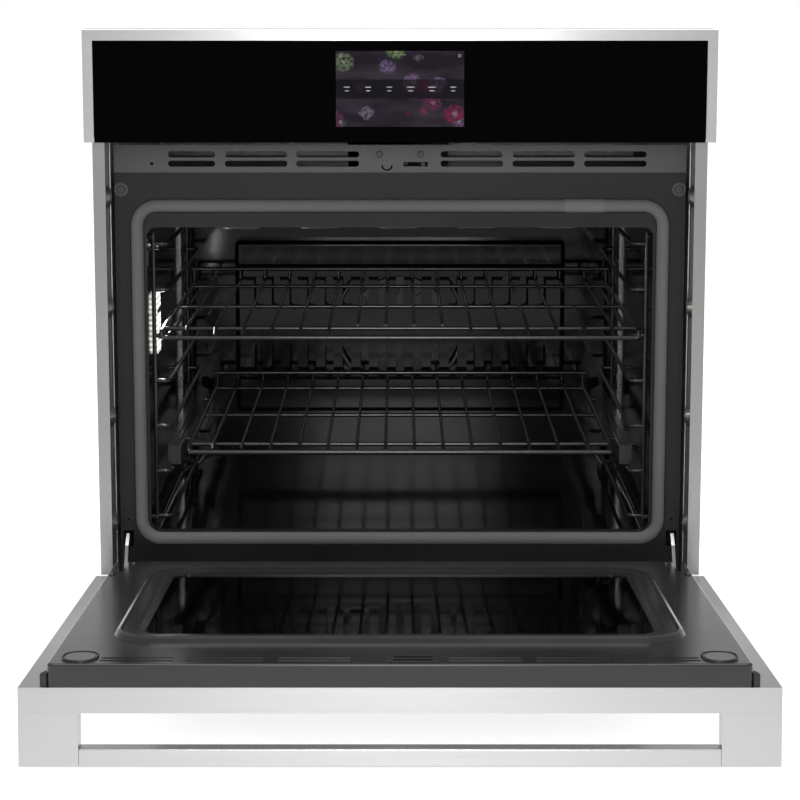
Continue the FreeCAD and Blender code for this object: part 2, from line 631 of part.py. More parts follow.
def blower_housing():
    half = BLOWER_RADIUS + 14
    z0 = BLOWER_BASE
    z1 = z0 + BLOWER_HEIGHT
    shell = disc((0, BLOWER_DEPTH, z0), half, BLOWER_HEIGHT, UP)
    shell = shell.fuse(block(-half, 20, BLOWER_DEPTH - 240, BLOWER_DEPTH, z0, z1))
    room = disc((0, BLOWER_DEPTH, z0 + SHEET), half - SHEET, BLOWER_HEIGHT - 2 * SHEET, UP)
    throat = block(-half + SHEET, 20 - SHEET, BLOWER_DEPTH - 260, BLOWER_DEPTH, z0 + SHEET, z1 - SHEET)
    room = room.fuse(throat)
    shell = shell.cut(room)
    return shell.cut(disc((0, BLOWER_DEPTH, z1 - 5), 32, 10, UP))


def blower_wheel():
    z0 = BLOWER_BASE + 6
    parts = [disc((0, BLOWER_DEPTH, z0), BLOWER_RADIUS, 1.5, UP)]
    ring = disc((0, BLOWER_DEPTH, z0 + 44), BLOWER_RADIUS, 1.5, UP)
    parts.append(ring.cut(disc((0, BLOWER_DEPTH, z0 + 40), BLOWER_RADIUS - 14, 10, UP)))
    parts.append(disc((0, BLOWER_DEPTH, z0), 9, 46, UP))
    parts.append(disc((0, BLOWER_DEPTH, z0), BLOWER_SHAFT, 76, UP))
    for number in range(BLOWER_BLADES):
        inner = BLOWER_RADIUS - 13
        outer = BLOWER_RADIUS - 1
        blade = block(inner, outer, BLOWER_DEPTH - 0.6, BLOWER_DEPTH + 0.6, z0 + 1, z0 + 45)
        blade.rotate(place(BLOWER_RADIUS - 7, BLOWER_DEPTH, 0), UP, 28)
        blade.rotate(place(0, BLOWER_DEPTH, 0), UP, number * 360.0 / BLOWER_BLADES)
        parts.append(blade)
    return joined(parts)


def blower_motor():
    z0 = BLOWER_BASE + BLOWER_HEIGHT
    body = disc((0, BLOWER_DEPTH, z0 + 6), 26, 40, UP)
    for turn in range(3):
        arm = block(20, 46, BLOWER_DEPTH - 4, BLOWER_DEPTH + 4, z0 + 6, z0 + 9)
        foot = block(38, 46, BLOWER_DEPTH - 4, BLOWER_DEPTH + 4, z0, z0 + 6)
        leg = arm.fuse(foot)
        leg.rotate(place(0, BLOWER_DEPTH, 0), UP, turn * 120.0)
        body = body.fuse(leg)
    body = body.removeSplitter()
    return body.cut(disc((0, BLOWER_DEPTH, z0), BLOWER_SHAFT + RUNNING_CLEARANCE, 30, UP))


# ---- heating ------------------------------------------------------------------------
def fan_cover():
    outer = block(-COVER_HALF, COVER_HALF, COVER_FRONT, CAVITY_BACK, COVER_BOTTOM, COVER_TOP)
    front_edges = [e for e in outer.Edges if e.CenterOfMass.y < FRONT + COVER_FRONT + 0.1]
    outer = outer.makeFillet(COVER_CORNER, front_edges + edges_along(outer, BACK))
    inner = block(-COVER_HALF + SHEET, COVER_HALF - SHEET, COVER_FRONT + SHEET, CAVITY_BACK + 1,
                  COVER_BOTTOM + SHEET, COVER_TOP - SHEET)
    front_edges = [e for e in inner.Edges if e.CenterOfMass.y < FRONT + COVER_FRONT + SHEET + 0.1]
    inner = inner.makeFillet(COVER_CORNER - 1, front_edges + edges_along(inner, BACK))
    cover = outer.cut(inner)
    for column in range(-8, 9):
        x = column * COVER_SLOT_PITCH
        for z0, z1 in COVER_SLOT_ROWS:
            x0 = x - COVER_SLOT_HALF
            x1 = x + COVER_SLOT_HALF
            corner = COVER_SLOT_HALF - 0.3
            cover = cover.cut(rounded(x0, x1, COVER_FRONT - 3, COVER_FRONT + 4, z0, z1, corner, BACK))
    for side in (-1, 1):
        for row in range(8):
            z = 205.0 + row * 25.0
            cover = cover.cut(block(side * COVER_HALF - 5, side * COVER_HALF + 5, COVER_FRONT + 9,
                                    CAVITY_BACK - 6, z, z + 14))
    return cover


def rear_baffle():
    """The slotted air strip that stands against the side wall at the back of the cavity."""
    inner = CAVITY_HALF - BAFFLE_STAND_OFF
    strip = block(inner, inner + SHEET, BAFFLE_FRONT, BAFFLE_BACK, BAFFLE_BOTTOM, BAFFLE_TOP)
    back = block(inner, CAVITY_HALF - 0.05, BAFFLE_FRONT, BAFFLE_FRONT + SHEET, BAFFLE_BOTTOM, BAFFLE_TOP)
    strip = strip.fuse(back).removeSplitter()
    for row in range(12):
        z = BAFFLE_BOTTOM + 14.0 + row * 28.0
        for depth in (433.0, 472.0):
            strip = strip.cut(rounded(CAVITY_HALF - 6, CAVITY_HALF, depth, depth + 9, z, z + 18, 4.3, ACROSS))
    return drilled(strip, [(CAVITY_HALF, LADDER_BACK, z) for z in LADDER_PADS], 4.2, ACROSS, 20.0)


def convection_fan():
    parts = [disc((0, COVER_FRONT + 19, FAN_Z), FAN_RADIUS, 1.5, BACK)]
    parts.append(disc((0, COVER_FRONT + 6, FAN_Z), 12, 15, BACK))
    parts.append(disc((0, COVER_FRONT + 6, FAN_Z), SHAFT_RADIUS, MOTOR_FRONT + 20 - COVER_FRONT - 6, BACK))
    for number in range(FAN_BLADES):
        blade = block(34, FAN_RADIUS - 2, COVER_FRONT + 6, COVER_FRONT + 20, FAN_Z - 0.6, FAN_Z + 0.6)
        blade.rotate(place(FAN_RADIUS - 20, 0, FAN_Z), BACK, 30)
        blade.rotate(place(0, 0, FAN_Z), BACK, number * 360.0 / FAN_BLADES)
        parts.append(blade)
    return joined(parts)


def convection_motor():
    body = disc((0, MOTOR_FRONT, FAN_Z), MOTOR_RADIUS, 44, BACK)
    for side in (-1, 1):
        ear = block(side * 40 - 22, side * 40 + 22, MOTOR_FRONT, MOTOR_FRONT + 3, FAN_Z - 8, FAN_Z + 8)
        body = body.fuse(ear)
    body = body.removeSplitter()
    return body.cut(disc((0, MOTOR_FRONT - 1, FAN_Z), SHAFT_RADIUS + RUNNING_CLEARANCE, 32, BACK))


def convection_element():
    depth = COVER_FRONT + 14
    terminal = ELEMENT_TERMINALS / 10.0
    ring = Part.makeTorus(RING_ELEMENT_RADIUS, RING_ELEMENT_WIRE, place(0, depth, FAN_Z), BACK)
    bottom = FAN_Z - RING_ELEMENT_RADIUS
    parts = [ring.cut(block(1 - terminal, terminal - 1, depth - 9, depth + 9, bottom - 9, bottom + 9))]
    for side in (-1, 1):
        z = FAN_Z - math.sqrt(RING_ELEMENT_RADIUS ** 2 - terminal ** 2)
        parts.append(disc((side * terminal, depth, z), RING_ELEMENT_WIRE, CAVITY_BACK + 26 - depth, BACK))
    return joined(parts)


def broil_element():
    half = ELEMENT_TERMINALS * 1.5
    step = 2 * half / (BROIL_LOOPS * 2 - 1)
    link = 465.0
    points = [(-ELEMENT_TERMINALS, CAVITY_BACK + 16, BROIL_Z), (-ELEMENT_TERMINALS, link, BROIL_Z)]
    for loop in range(BROIL_LOOPS):
        x = -half + loop * step * 2
        points.append((x, 435.0 if loop else link, BROIL_Z))
        points.append((x, 80.0, BROIL_Z))
        points.append((x + step, 80.0, BROIL_Z))
        points.append((x + step, 435.0 if loop < BROIL_LOOPS - 1 else link, BROIL_Z))
    points.append((ELEMENT_TERMINALS, link, BROIL_Z))
    points.append((ELEMENT_TERMINALS, CAVITY_BACK + 16, BROIL_Z))
    return bent_rod(points, ELEMENT_RADIUS, 12.0)


def bake_element():
    points = [(-120.0, 470, BAKE_Z), (-240.0, 470, BAKE_Z), (-240.0, 60, BAKE_Z), (240.0, 60, BAKE_Z),
              (240.0, 470, BAKE_Z), (120.0, 470, BAKE_Z)]
    return bent_rod(points, ELEMENT_RADIUS, 30.0)


def temperature_sensor():
    rod = disc((SENSOR_X, 440, SENSOR_Z), 2.6, CAVITY_BACK + 22 - 440, BACK)
    flange = disc((SENSOR_X, CAVITY_BACK - 1.6, SENSOR_Z), 11, 1.6, BACK)
    return rod.fuse(flange)


def lamp_lens():
    d0, d1, z0, z1 = LAMP_WINDOW
    lens = rounded(-CAVITY_HALF - 2, -CAVITY_HALF + 5, d0 + 0.3, d1 - 0.3, z0 + 0.3, z1 - 0.3, 6, ACROSS)
    return lens


def lamp_housing():
    d0, d1, z0, z1 = LAMP_WINDOW
    middle = (d0 + d1) / 2
    wall = LAMP_BOX_WALL + SHEET
    box = block(LAMP_BOX_WALL, -CAVITY_HALF - SHEET - 0.1, d0 - 8, d1 + 8, z0 - 8, z1 + 8)
    box = box.cut(block(wall, -CAVITY_HALF, d0 - 8 + SHEET, d1 + 8 - SHEET, z0 - 8 + SHEET, z1 + 8 - SHEET))
    holder = block(wall, wall + 9, middle - 9, middle + 9, z0 + 6, z0 + 22)
    bulb = disc((wall + 11, middle, z0 + 20), 6, 34, UP)
    arm = block(wall + 5, wall + 13, middle - 4, middle + 4, z0 + 14, z0 + 24)
    return joined([box, holder, arm, bulb])


def probe_jack():
    start = (-CAVITY_HALF - 10, PROBE_DEPTH, PROBE_Z)
    body = disc(start, 6.0, 24, ACROSS)
    body = body.fuse(disc((-CAVITY_HALF, PROBE_DEPTH, PROBE_Z), 9.5, 3, ACROSS))
    bracket = block(-CAVITY_HALF + 0.05, -CAVITY_HALF + 1.6, PROBE_DEPTH - 8, PROBE_DEPTH + 8,
                    PROBE_Z - 26, PROBE_Z + 11)
    body = body.fuse(bracket)
    return body.cut(disc((-CAVITY_HALF - 4, PROBE_DEPTH, PROBE_Z), 3.2, 40, ACROSS)).removeSplitter()


# ---- rack supports and racks --------------------------------------------------------
def rung_z(number):
    return RUNG_FIRST + number * RUNG_PITCH


def ladder():
    bottom, top = LADDER_ENDS
    parts = []
    for depth in (LADDER_FRONT, LADDER_BACK):
        parts.append(disc((LADDER_POST_X, depth, bottom), RUNG_WIRE, top - bottom, UP))
        for z in LADDER_PADS:
            parts.append(disc((LADDER_POST_X, depth, z), 3.6, CAVITY_HALF - 0.1 - LADDER_POST_X, ACROSS))
    for number in range(RUNG_COUNT):
        z = rung_z(number)
        points = [(LADDER_POST_X, LADDER_FRONT, z), (LADDER_RUNG_X, LADDER_FRONT, z),
                  (LADDER_RUNG_X, LADDER_BACK, z), (LADDER_POST_X, LADDER_BACK, z)]
        parts.append(bent_rod(points, RUNG_WIRE, 8.0))
    return joined(parts)


def bar_across(half, depth, z, radius=CROSS_BAR):
    return disc((-half, depth, z), radius, 2 * half, ACROSS)


def wire_over(x, z_bar, drop, back_rise):
    """A lengthwise wire that hooks down over the front bar and turns up at the back."""
    z = z_bar + WIRE_LIFT
    points = [(x, RACK_FRONT - 1, z - drop), (x, RACK_FRONT + 11, z), (x, RACK_BACK, z),
              (x, RACK_BACK, z + back_rise)]
    return bent_rod(points, RACK_WIRE, 6.0)


def rack_edge(right_half, bend):
    """The bar round a rack: up one side, along the front and back down the other side."""
    left_half = [(-x, depth, z) for x, depth, z in reversed(right_half)]
    return bent_rod(left_half + right_half, RACK_BAR, bend)


def upper_rack():
    top = UPPER_Z + BACKSTOP
    parts = [rack_edge([(UPPER_HALF, RACK_FRONT, UPPER_Z - UPPER_DROP), (UPPER_HALF, RACK_FRONT, UPPER_Z),
                        (UPPER_HALF, RACK_BACK, UPPER_Z), (UPPER_HALF, RACK_BACK, top)], 3.6)]
    for depth in CROSS_BARS:
        parts.append(bar_across(UPPER_HALF, depth, UPPER_Z))
    parts.append(bar_across(UPPER_HALF + 3.5, RACK_BACK, top, RACK_BAR + 0.2))
    for number in range(UPPER_WIRES):
        for side in (-1, 1):
            x = side * (number + 0.5) * UPPER_PITCH
            if number < 2:
                points = [(x, RACK_SECOND, UPPER_Z + WIRE_LIFT), (x, RACK_BACK, UPPER_Z + WIRE_LIFT),
                          (x, RACK_BACK, top)]
                parts.append(bent_rod(points, RACK_WIRE, 6.0))
            else:
                parts.append(wire_over(x, UPPER_Z, UPPER_DROP, BACKSTOP - WIRE_LIFT))
    return joined(parts)


def lower_rack():
    top = LOWER_Z + LOWER_BACKSTOP
    side_line = [(LOWER_HALF, RACK_FRONT, LOWER_Z - LOWER_DROP), (LOWER_HALF, RACK_FRONT + 16, LOWER_Z),
                 (LOWER_HALF, RACK_BACK, LOWER_Z), (LOWER_HALF, RACK_BACK, top)]
    parts = [rack_edge(side_line, 3.6)]
    for depth in CROSS_BARS:
        parts.append(bar_across(LOWER_HALF, depth, LOWER_Z))
    parts.append(bar_across(LOWER_HALF + 3.5, RACK_BACK, top, RACK_BAR + 0.2))
    foot_x = GLIDE_X - GLIDE_REACH - 0.1
    for side in (-1, 1):
        x = side * LOWER_HALF
        for depth in (120.0, 400.0):
            foot = [(x, depth, LOWER_Z), (x, depth, LOWER_Z - 8), (side * foot_x, depth, LOWER_Z - 8)]
            parts.append(bent_rod(foot, LOWER_FOOT, 3.0))
    low = LOWER_BLOCK_BOTTOM + 6
    depth = RACK_SECOND - 10
    raised = LOWER_Z - 9
    half_support = [(247, depth, raised), (256, depth, low), (foot_x - RACK_BAR, depth + 24, low)]
    parts.append(rack_edge(half_support, 4.0))
    for side in (-1, 1):
        across = side * 240.0
        hanger = [(across, depth, raised), (across, depth, LOWER_Z), (across, RACK_SECOND, LOWER_Z)]
        parts.append(bent_rod(hanger, LOWER_FOOT, 3.5))
    for number in range(LOWER_WIRES):
        for side in (-1, 1):
            x = side * (number + 0.5) * LOWER_PITCH
            parts.append(wire_over(x, LOWER_Z, LOWER_DROP, LOWER_BACKSTOP - WIRE_LIFT))
    return joined(parts)


def channel(x_open, x_wall, z0, z1, d0, d1):
    """A C-shaped slide member whose wall is at x_wall and whose mouth faces x_open."""
    low, high = min(x_open, x_wall), max(x_open, x_wall)
    solid = block(low, high, d0, d1, z0, z1)
    shift = -SHEET if x_wall > x_open else SHEET
    room_low, room_high = (low - 1, high + shift) if x_wall > x_open else (low + shift, high + 1)
    return solid.cut(block(room_low, room_high, d0 - 1, d1 + 1, z0 + SHEET, z1 - SHEET))


def glide_outer_rails():
    z0 = LOWER_BLOCK_BOTTOM
    return pair(channel(GLIDE_X + 1, GLIDE_X + GLIDE_REACH, z0, z0 + GLIDE_HEIGHT, GLIDE_FRONT, GLIDE_BACK))


def glide_middle_members():
    z0 = LOWER_BLOCK_BOTTOM + GLIDE_STEP
    z1 = LOWER_BLOCK_BOTTOM + GLIDE_HEIGHT - GLIDE_STEP
    wall = GLIDE_X + GLIDE_REACH - GLIDE_STEP
    return pair(channel(GLIDE_X - 4, wall, z0, z1, GLIDE_FRONT + 3, GLIDE_BACK - 3))


def glide_inner_members():
    z0 = LOWER_BLOCK_BOTTOM + 2 * GLIDE_STEP
    z1 = LOWER_BLOCK_BOTTOM + GLIDE_HEIGHT - 2 * GLIDE_STEP
    bar = channel(GLIDE_X + 5, GLIDE_X - GLIDE_REACH, z0, z1, GLIDE_FRONT - 1, GLIDE_BACK - 6)
    cap = block(GLIDE_X - GLIDE_REACH, GLIDE_X + GLIDE_REACH - 2, GLIDE_FRONT - 4, GLIDE_FRONT - 0.5,
                LOWER_BLOCK_BOTTOM + 1, LOWER_BLOCK_BOTTOM + GLIDE_HEIGHT - 1)
    return pair(bar.fuse(cap))


# ---- hinges -------------------------------------------------------------------------
def upright(shape_points, x0, x1):
    """A flat piece whose outline is given as (depth, z) points and that is x1 - x0 thick."""
    corners = [place(x0, depth, z) for depth, z in shape_points]
    face = Part.Face(Part.makePolygon(corners + corners[:1]))
    return face.extrude(FreeCAD.Vector(x1 - x0, 0, 0))


def hinge_arm():
    low = HINGE_SLOT_BOTTOM + 2
    high = HINGE_SLOT_TOP - 2
    outline = [(PIVOT_DEPTH - 3, PIVOT_Z - 4), (PIVOT_DEPTH + 5, PIVOT_Z - 2), (-6, low), (60, low),
               (60, high), (-8, high), (-22, high - 12), (PIVOT_DEPTH - 5, PIVOT_Z + 3)]
    arm = upright(outline, HINGE_X - 2, HINGE_X + 2)
    boss = disc((HINGE_X - 2, PIVOT_DEPTH, PIVOT_Z), 6.0, 4, ACROSS)
    arm = arm.fuse(boss).removeSplitter()
    return arm.cut(disc((HINGE_X - 5, PIVOT_DEPTH, PIVOT_Z), PIN_RADIUS + RUNNING_CLEARANCE, 10, ACROSS))


def hinge_body():
    outer = block(HINGE_X - 6.5, HINGE_X + 6.5, -56.6, -36.0, 34, 250)
    room = block(HINGE_X - 5, HINGE_X + 5, -55.1, -30, 20, 260)
    body = outer.cut(room)
    body = body.fuse(block(HINGE_X - 5, HINGE_X + 5, -55.1, -40, 190, 191.5))
    return body.cut(disc((HINGE_X - 8, PIVOT_DEPTH, PIVOT_Z), PIN_RADIUS + 0.02, 16, ACROSS)).removeSplitter()


def hinge_pin():
    pin = disc((HINGE_X - 6.5, PIVOT_DEPTH, PIVOT_Z), PIN_RADIUS, 13.5, ACROSS)
    return pin


def hinge_spring():
    coil_radius = 4.0
    helix = Part.makeHelix(7.0, 84.0, coil_radius)
    section = Part.Wire(Part.makeCircle(1.0, FreeCAD.Vector(coil_radius, 0, 0), BACK))
    spring = Part.Wire(helix.Edges).makePipeShell([section], True, True)
    spring.translate(place(HINGE_X, -48.5, 104.0))
    return spring


# ---- door, drawn closed -------------------------------------------------------------
def window(grow, d0, d1):
    """The door window's outline, grown outwards by this much."""
    return plate(-WINDOW_HALF - grow, WINDOW_HALF + grow, WINDOW_BOTTOM - grow, WINDOW_TOP + grow,
                 WINDOW_CORNER + grow, d0, d1)


def door_skin():
    outer = block(-PANEL_HALF, PANEL_HALF, DOOR_FRONT, SKIN_BACK, DOOR_BOTTOM, DOOR_TOP)
    uprights = [e for e in edges_along(outer, UP) if e.CenterOfMass.y < FRONT + SKIN_BACK - 1]
    outer = outer.makeFillet(1.5, uprights)
    room = block(-PANEL_HALF + SHEET, PANEL_HALF - SHEET, DOOR_FRONT + SHEET, SKIN_BACK - SHEET,
                 DOOR_BOTTOM + SHEET, DOOR_TOP - SHEET)
    skin = outer.cut(room)
    opening = block(-LINER_HALF + 2, LINER_HALF - 2, SKIN_BACK - 3, 0, LINER_BOTTOM + 4, DOOR_TOP - SHEET)
    skin = skin.cut(opening)
    skin = skin.cut(window(-7, DOOR_FRONT - 5, DOOR_FRONT + 5))
    for side in (-1, 1):
        middle = side * HINGE_X
        skin = skin.cut(block(middle - 6.8, middle + 6.8, -46, SKIN_BACK + 5, DOOR_BOTTOM - 5, 62))
    return skin


def door_outer_glass():
    front = DOOR_FRONT + SHEET
    return block(-WINDOW_HALF - 5, WINDOW_HALF + 5, front, front + GLASS, WINDOW_BOTTOM - 5, WINDOW_TOP + 5)


def door_middle_glass():
    parts = []
    for front in (-45.0, -28.0):
        half = WINDOW_HALF + 5
        parts.append(block(-half, half, front, front + 3, WINDOW_BOTTOM - 5, WINDOW_TOP + 5))
    spacer = block(-WINDOW_HALF - 5, WINDOW_HALF + 5, -42, -28, WINDOW_BOTTOM - 5, WINDOW_TOP + 5)
    parts.append(spacer.cut(window(2, -50, -20)))
    return joined(parts)


def door_inner_glass():
    front = LINER_FACE + 1.2
    return block(-WINDOW_HALF - 6, WINDOW_HALF + 6, front - GLASS, front, WINDOW_BOTTOM - 6, WINDOW_TOP + 6)


def window_outline(grow, depth):
    """The window's rounded outline as one closed wire at this depth."""
    face = window(grow, depth, depth + 1)
    for candidate in face.Faces:
        if abs(candidate.CenterOfMass.y - FRONT - depth) < 0.001:
            return candidate.OuterWire
    raise ValueError("the window has no front face")


def ring_solid(lower):
    """The raised surround as a solid mound with a dished middle, lowered by this much."""
    outlines = [window_outline(offset, LINER_FACE + height - lower) for offset, height in RING_PROFILE]
    mound = Part.makeLoft(outlines, True, True)
    base = LINER_FACE - 4.0
    foot = window(RING_WIDTH, base, LINER_FACE - lower)
    return foot.fuse(mound).cut(window(0.0, base - 1, LINER_FACE + 10))


def door_liner():
    outer = block(-LINER_HALF, LINER_HALF, SKIN_BACK, LINER_FACE, LINER_BOTTOM, DOOR_TOP)
    outer = outer.makeFillet(6.0, edges_along(outer, BACK))
    top_rim = [e for e in outer.Edges if abs(e.CenterOfMass.y - FRONT - LINER_FACE) < 0.01]
    outer = outer.makeFillet(2.5, top_rim)
    room = rounded(-LINER_HALF + SHEET, LINER_HALF - SHEET, SKIN_BACK - 1, LINER_FACE - SHEET,
                   LINER_BOTTOM + SHEET, DOOR_TOP - SHEET, 4.8, BACK)
    pan = outer.cut(room)
    pan = pan.cut(window(RING_WIDTH - 0.4, LINER_FACE - 5, LINER_FACE + 5))
    ring = ring_solid(0.0).cut(ring_solid(SHEET))
    ring = ring.cut(block(-400, 400, -40, LINER_FACE - SHEET, 0, 700))
    pan = pan.fuse(ring)
    for x0, x1 in DOOR_VENTS:
        for row in DOOR_VENT_ROWS:
            pan = pan.cut(slot(x0, x1, row, 6.0, LINER_FACE - 0.7, LINER_FACE + 2))
    pan = pan.cut(block(-9, 32, LINER_FACE - 4, LINER_FACE + 3, 566, 588))
    for side in (-1, 1):
        middle = side * HINGE_X
        pan = pan.cut(block(middle - 7, middle + 7, SKIN_BACK - 1, LINER_FACE + 3, LINER_BOTTOM - 5, 118))
    holes = [(x, LINER_FACE, z) for x, z in DOOR_SCREWS]
    return drilled(pan, holes, SCREW_CLEARANCE, BACK)


def door_insulation():
    wool = block(-331, 331, -52, LINER_FACE - 12, 66, 548)
    wool = wool.cut(block(-WINDOW_HALF - 8, WINDOW_HALF + 8, -60, 0, WINDOW_BOTTOM - 8, WINDOW_TOP + 8))
    return wool


def handle_bar():
    half = HANDLE_END - SEAM
    bar = block(-half, half, HANDLE_FRONT, HANDLE_GAP_FRONT, HANDLE_BOTTOM, DOOR_TOP)
    bar = bar.makeFillet(1.6, edges_along(bar, ACROSS))
    room = block(-400, 400, HANDLE_FRONT + 2.5, HANDLE_GAP_FRONT - 2.5, HANDLE_BOTTOM + 2.5, DOOR_TOP - 2.5)
    return bar.cut(room)


def handle_ends():
    end = block(HANDLE_END, PANEL_HALF, HANDLE_FRONT, DOOR_FRONT - 0.05, HANDLE_BOTTOM, DOOR_TOP)
    nose = [e for e in edges_along(end, ACROSS) if e.CenterOfMass.y < FRONT + HANDLE_FRONT + 1]
    end = end.makeFillet(1.6, nose)
    low = HANDLE_BOTTOM + 3
    room = block(HANDLE_END + 3, PANEL_HALF - 3, HANDLE_FRONT + 3, DOOR_FRONT + 5, low, DOOR_TOP - 3)
    return pair(end.cut(room))


def strike_plate():
    x0, x1, z0, z1 = STRIKE
    strike = plate(x0, x1, z0, z1, 2, LINER_FACE, LINER_FACE + 1)
    for z in LATCH_SLOTS:
        strike = strike.cut(block(x0 + 6, x1 - 6, LINER_FACE - 3, LINER_FACE + 3, z - 2.8, z + 2.8))
    base = LINER_FACE + 0.5
    top = LINER_FACE + 1 + STRIKE_RIB_HEIGHT
    for x in (x0, x1 - STRIKE_RIB_WIDTH):
        strike = strike.fuse(block(x, x + STRIKE_RIB_WIDTH, base, top, z0 + 2.5, z1 - 2.5))
    return strike.removeSplitter()


def door_bumpers():
    x0, x1, z0, z1 = PAD
    top = LINER_FACE + PAD_HEIGHT
    pad = plate(x0, x1, z0, z1, 17, LINER_FACE + 0.01, top)
    rim = [e for e in pad.Edges if abs(e.CenterOfMass.y - FRONT - top) < 0.01]
    pad = pad.makeFillet(0.8, rim)
    near, far = PAD_GROOVE_INSET
    floor = top - PAD_GROOVE_DEPTH
    groove = plate(x0 + near, x1 - near, z0 + near, z1 - near, 17 - near, floor, top + 1)
    island = plate(x0 + far, x1 - far, z0 + far, z1 - far, 17 - far, floor - 1, top + 2)
    return pair(pad.cut(groove.cut(island)))


def door_screws():
    toward_front = FreeCAD.Vector(0, -1, 0)
    return Part.makeCompound([pan_screw(x, LINER_FACE, z, toward_front) for x, z in DOOR_SCREWS])


# ---- door lock ----------------------------------------------------------------------
def lock_body():
    top = LOCK_BASE_Z + 2
    base = block(4, 60, 3, 70, LOCK_BASE_Z, top)
    pin = disc((HOOK_X, HOOK_DEPTH, top), LOCK_PIN_RADIUS, 9, UP)
    motor = disc((40, 50, top), 18, 26, UP)
    return joined([base, pin, motor])


def lock_hook():
    """A curved hook that stays on its own circle, so it leaves and enters by a narrow slot."""
    centre = (HOOK_X, HOOK_DEPTH, HOOK_Z)
    ring = disc(centre, HOOK_OUTER, HOOK_THICK, UP).cut(disc(centre, HOOK_INNER, HOOK_THICK, UP))
    keep = Part.makeCylinder(40, HOOK_THICK, place(*centre), UP, HOOK_SWEEP)
    keep.rotate(place(*centre), UP, HOOK_START - HOOK_SWEEP)
    arc = ring.common(keep)
    reach = HOOK_X + HOOK_OUTER - 1
    spoke = block(HOOK_X, reach, HOOK_DEPTH - 2.2, HOOK_DEPTH + 2.2, HOOK_Z, HOOK_Z + HOOK_THICK)
    spoke.rotate(place(*centre), UP, HOOK_START - HOOK_SWEEP + 6)
    hub = disc(centre, 4.2, HOOK_THICK, UP)
    hook = joined([arc, spoke, hub])
    return hook.cut(disc((HOOK_X, HOOK_DEPTH, HOOK_Z - 3), LOCK_PIN_RADIUS + RUNNING_CLEARANCE, 12, UP))


# ---- fasteners ----------------------------------------------------------------------
def chassis_screws():
    screws = []
    for side in (-1, 1):
        inward = FreeCAD.Vector(-side, 0, 0)
        for depth, z in SIDE_SCREWS:
            screws.append(pan_screw(side * CHASSIS_HALF, depth, z, inward))
    toward_front = FreeCAD.Vector(0, -1, 0)
    for x, z in BACK_SCREWS:
        screws.append(pan_screw(x, CHASSIS_DEPTH, z, toward_front))
    for x, depth, z in VENT_SCREWS:
        screws.append(pan_screw(x, depth, z, BACK, length=4.0))
    for x, depth, z in FRAME_STUDS:
        ring = disc((x, -1.2, z), 8.75, 1.2, BACK)
        screw = pan_screw(x, -1.2, z, BACK, head=4.8, shank=3.0, length=5.0)
        screws.append(ring.fuse(screw).removeSplitter())
    return Part.makeCompound(screws)


def save(name, shape):
    """Write one node, and stop if it isn't made of sound solids."""
    if not shape.Solids or not shape.isValid():
        raise ValueError(name + " is not a valid solid")
    shape.exportStep("parts/" + name + ".step")


CHASSIS_NODES = {
    "base_panel": base_panel, "side_panel_left": lambda: mirrored(side_panel()),
    "side_panel_right": side_panel, "back_panel": back_panel, "top_panel": top_panel,
    "front_frame": front_frame, "vent_panel": vent_panel, "cavity_liner": cavity_liner,
    "cavity_insulation": cavity_insulation, "door_gasket": door_gasket, "gasket_joiner": gasket_joiner,
    "side_trim_left": lambda: mirrored(side_trim()), "side_trim_right": side_trim,
    "bottom_vent_trim": bottom_vent_trim, "control_panel_frame": control_panel_frame,
    "control_glass": control_glass, "display_module": display_module, "control_board": control_board,
    "control_bracket": control_bracket, "air_deck": air_deck, "conduit_gland": conduit_gland,
    "blower_housing": blower_housing, "blower_motor": blower_motor, "blower_wheel": blower_wheel,
    "convection_motor": convection_motor, "convection_fan": convection_fan, "fan_cover": fan_cover,
    "convection_element": convection_element, "broil_element": broil_element, "bake_element": bake_element,
    "temperature_sensor": temperature_sensor, "lamp_lens": lamp_lens, "lamp_housing": lamp_housing,
    "probe_jack": probe_jack, "ladder_left": lambda: mirrored(ladder()), "ladder_right": ladder,
    "rear_baffles": lambda: pair(rear_baffle()), "chassis_screws": chassis_screws,
    "hinge_arms": lambda: pair(hinge_arm()), "glide_outer_rails": glide_outer_rails,
    "glide_middle_members": glide_middle_members, "glide_inner_members": glide_inner_members,
    "lower_rack": lower_rack, "upper_rack": upper_rack, "lock_body": lock_body, "lock_hook": lock_hook,
}

DOOR_NODES = {
    "door_skin": door_skin, "door_outer_glass": door_outer_glass, "door_middle_glass": door_middle_glass,
    "door_inner_glass": door_inner_glass, "door_liner": door_liner, "door_insulation": door_insulation,
    "handle_bar": handle_bar, "handle_ends": handle_ends, "strike_plate": strike_plate,
    "door_bumpers": door_bumpers, "door_screws": door_screws, "hinge_bodies": lambda: pair(hinge_body()),
    "hinge_pins": lambda: pair(hinge_pin()), "hinge_springs": lambda: pair(hinge_spring()),
}

for node, make in CHASSIS_NODES.items():
    save(node, make())
for node, make in DOOR_NODES.items():
    save(node, opened(make()))
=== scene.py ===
import json
from math import cos, pi, radians, sin

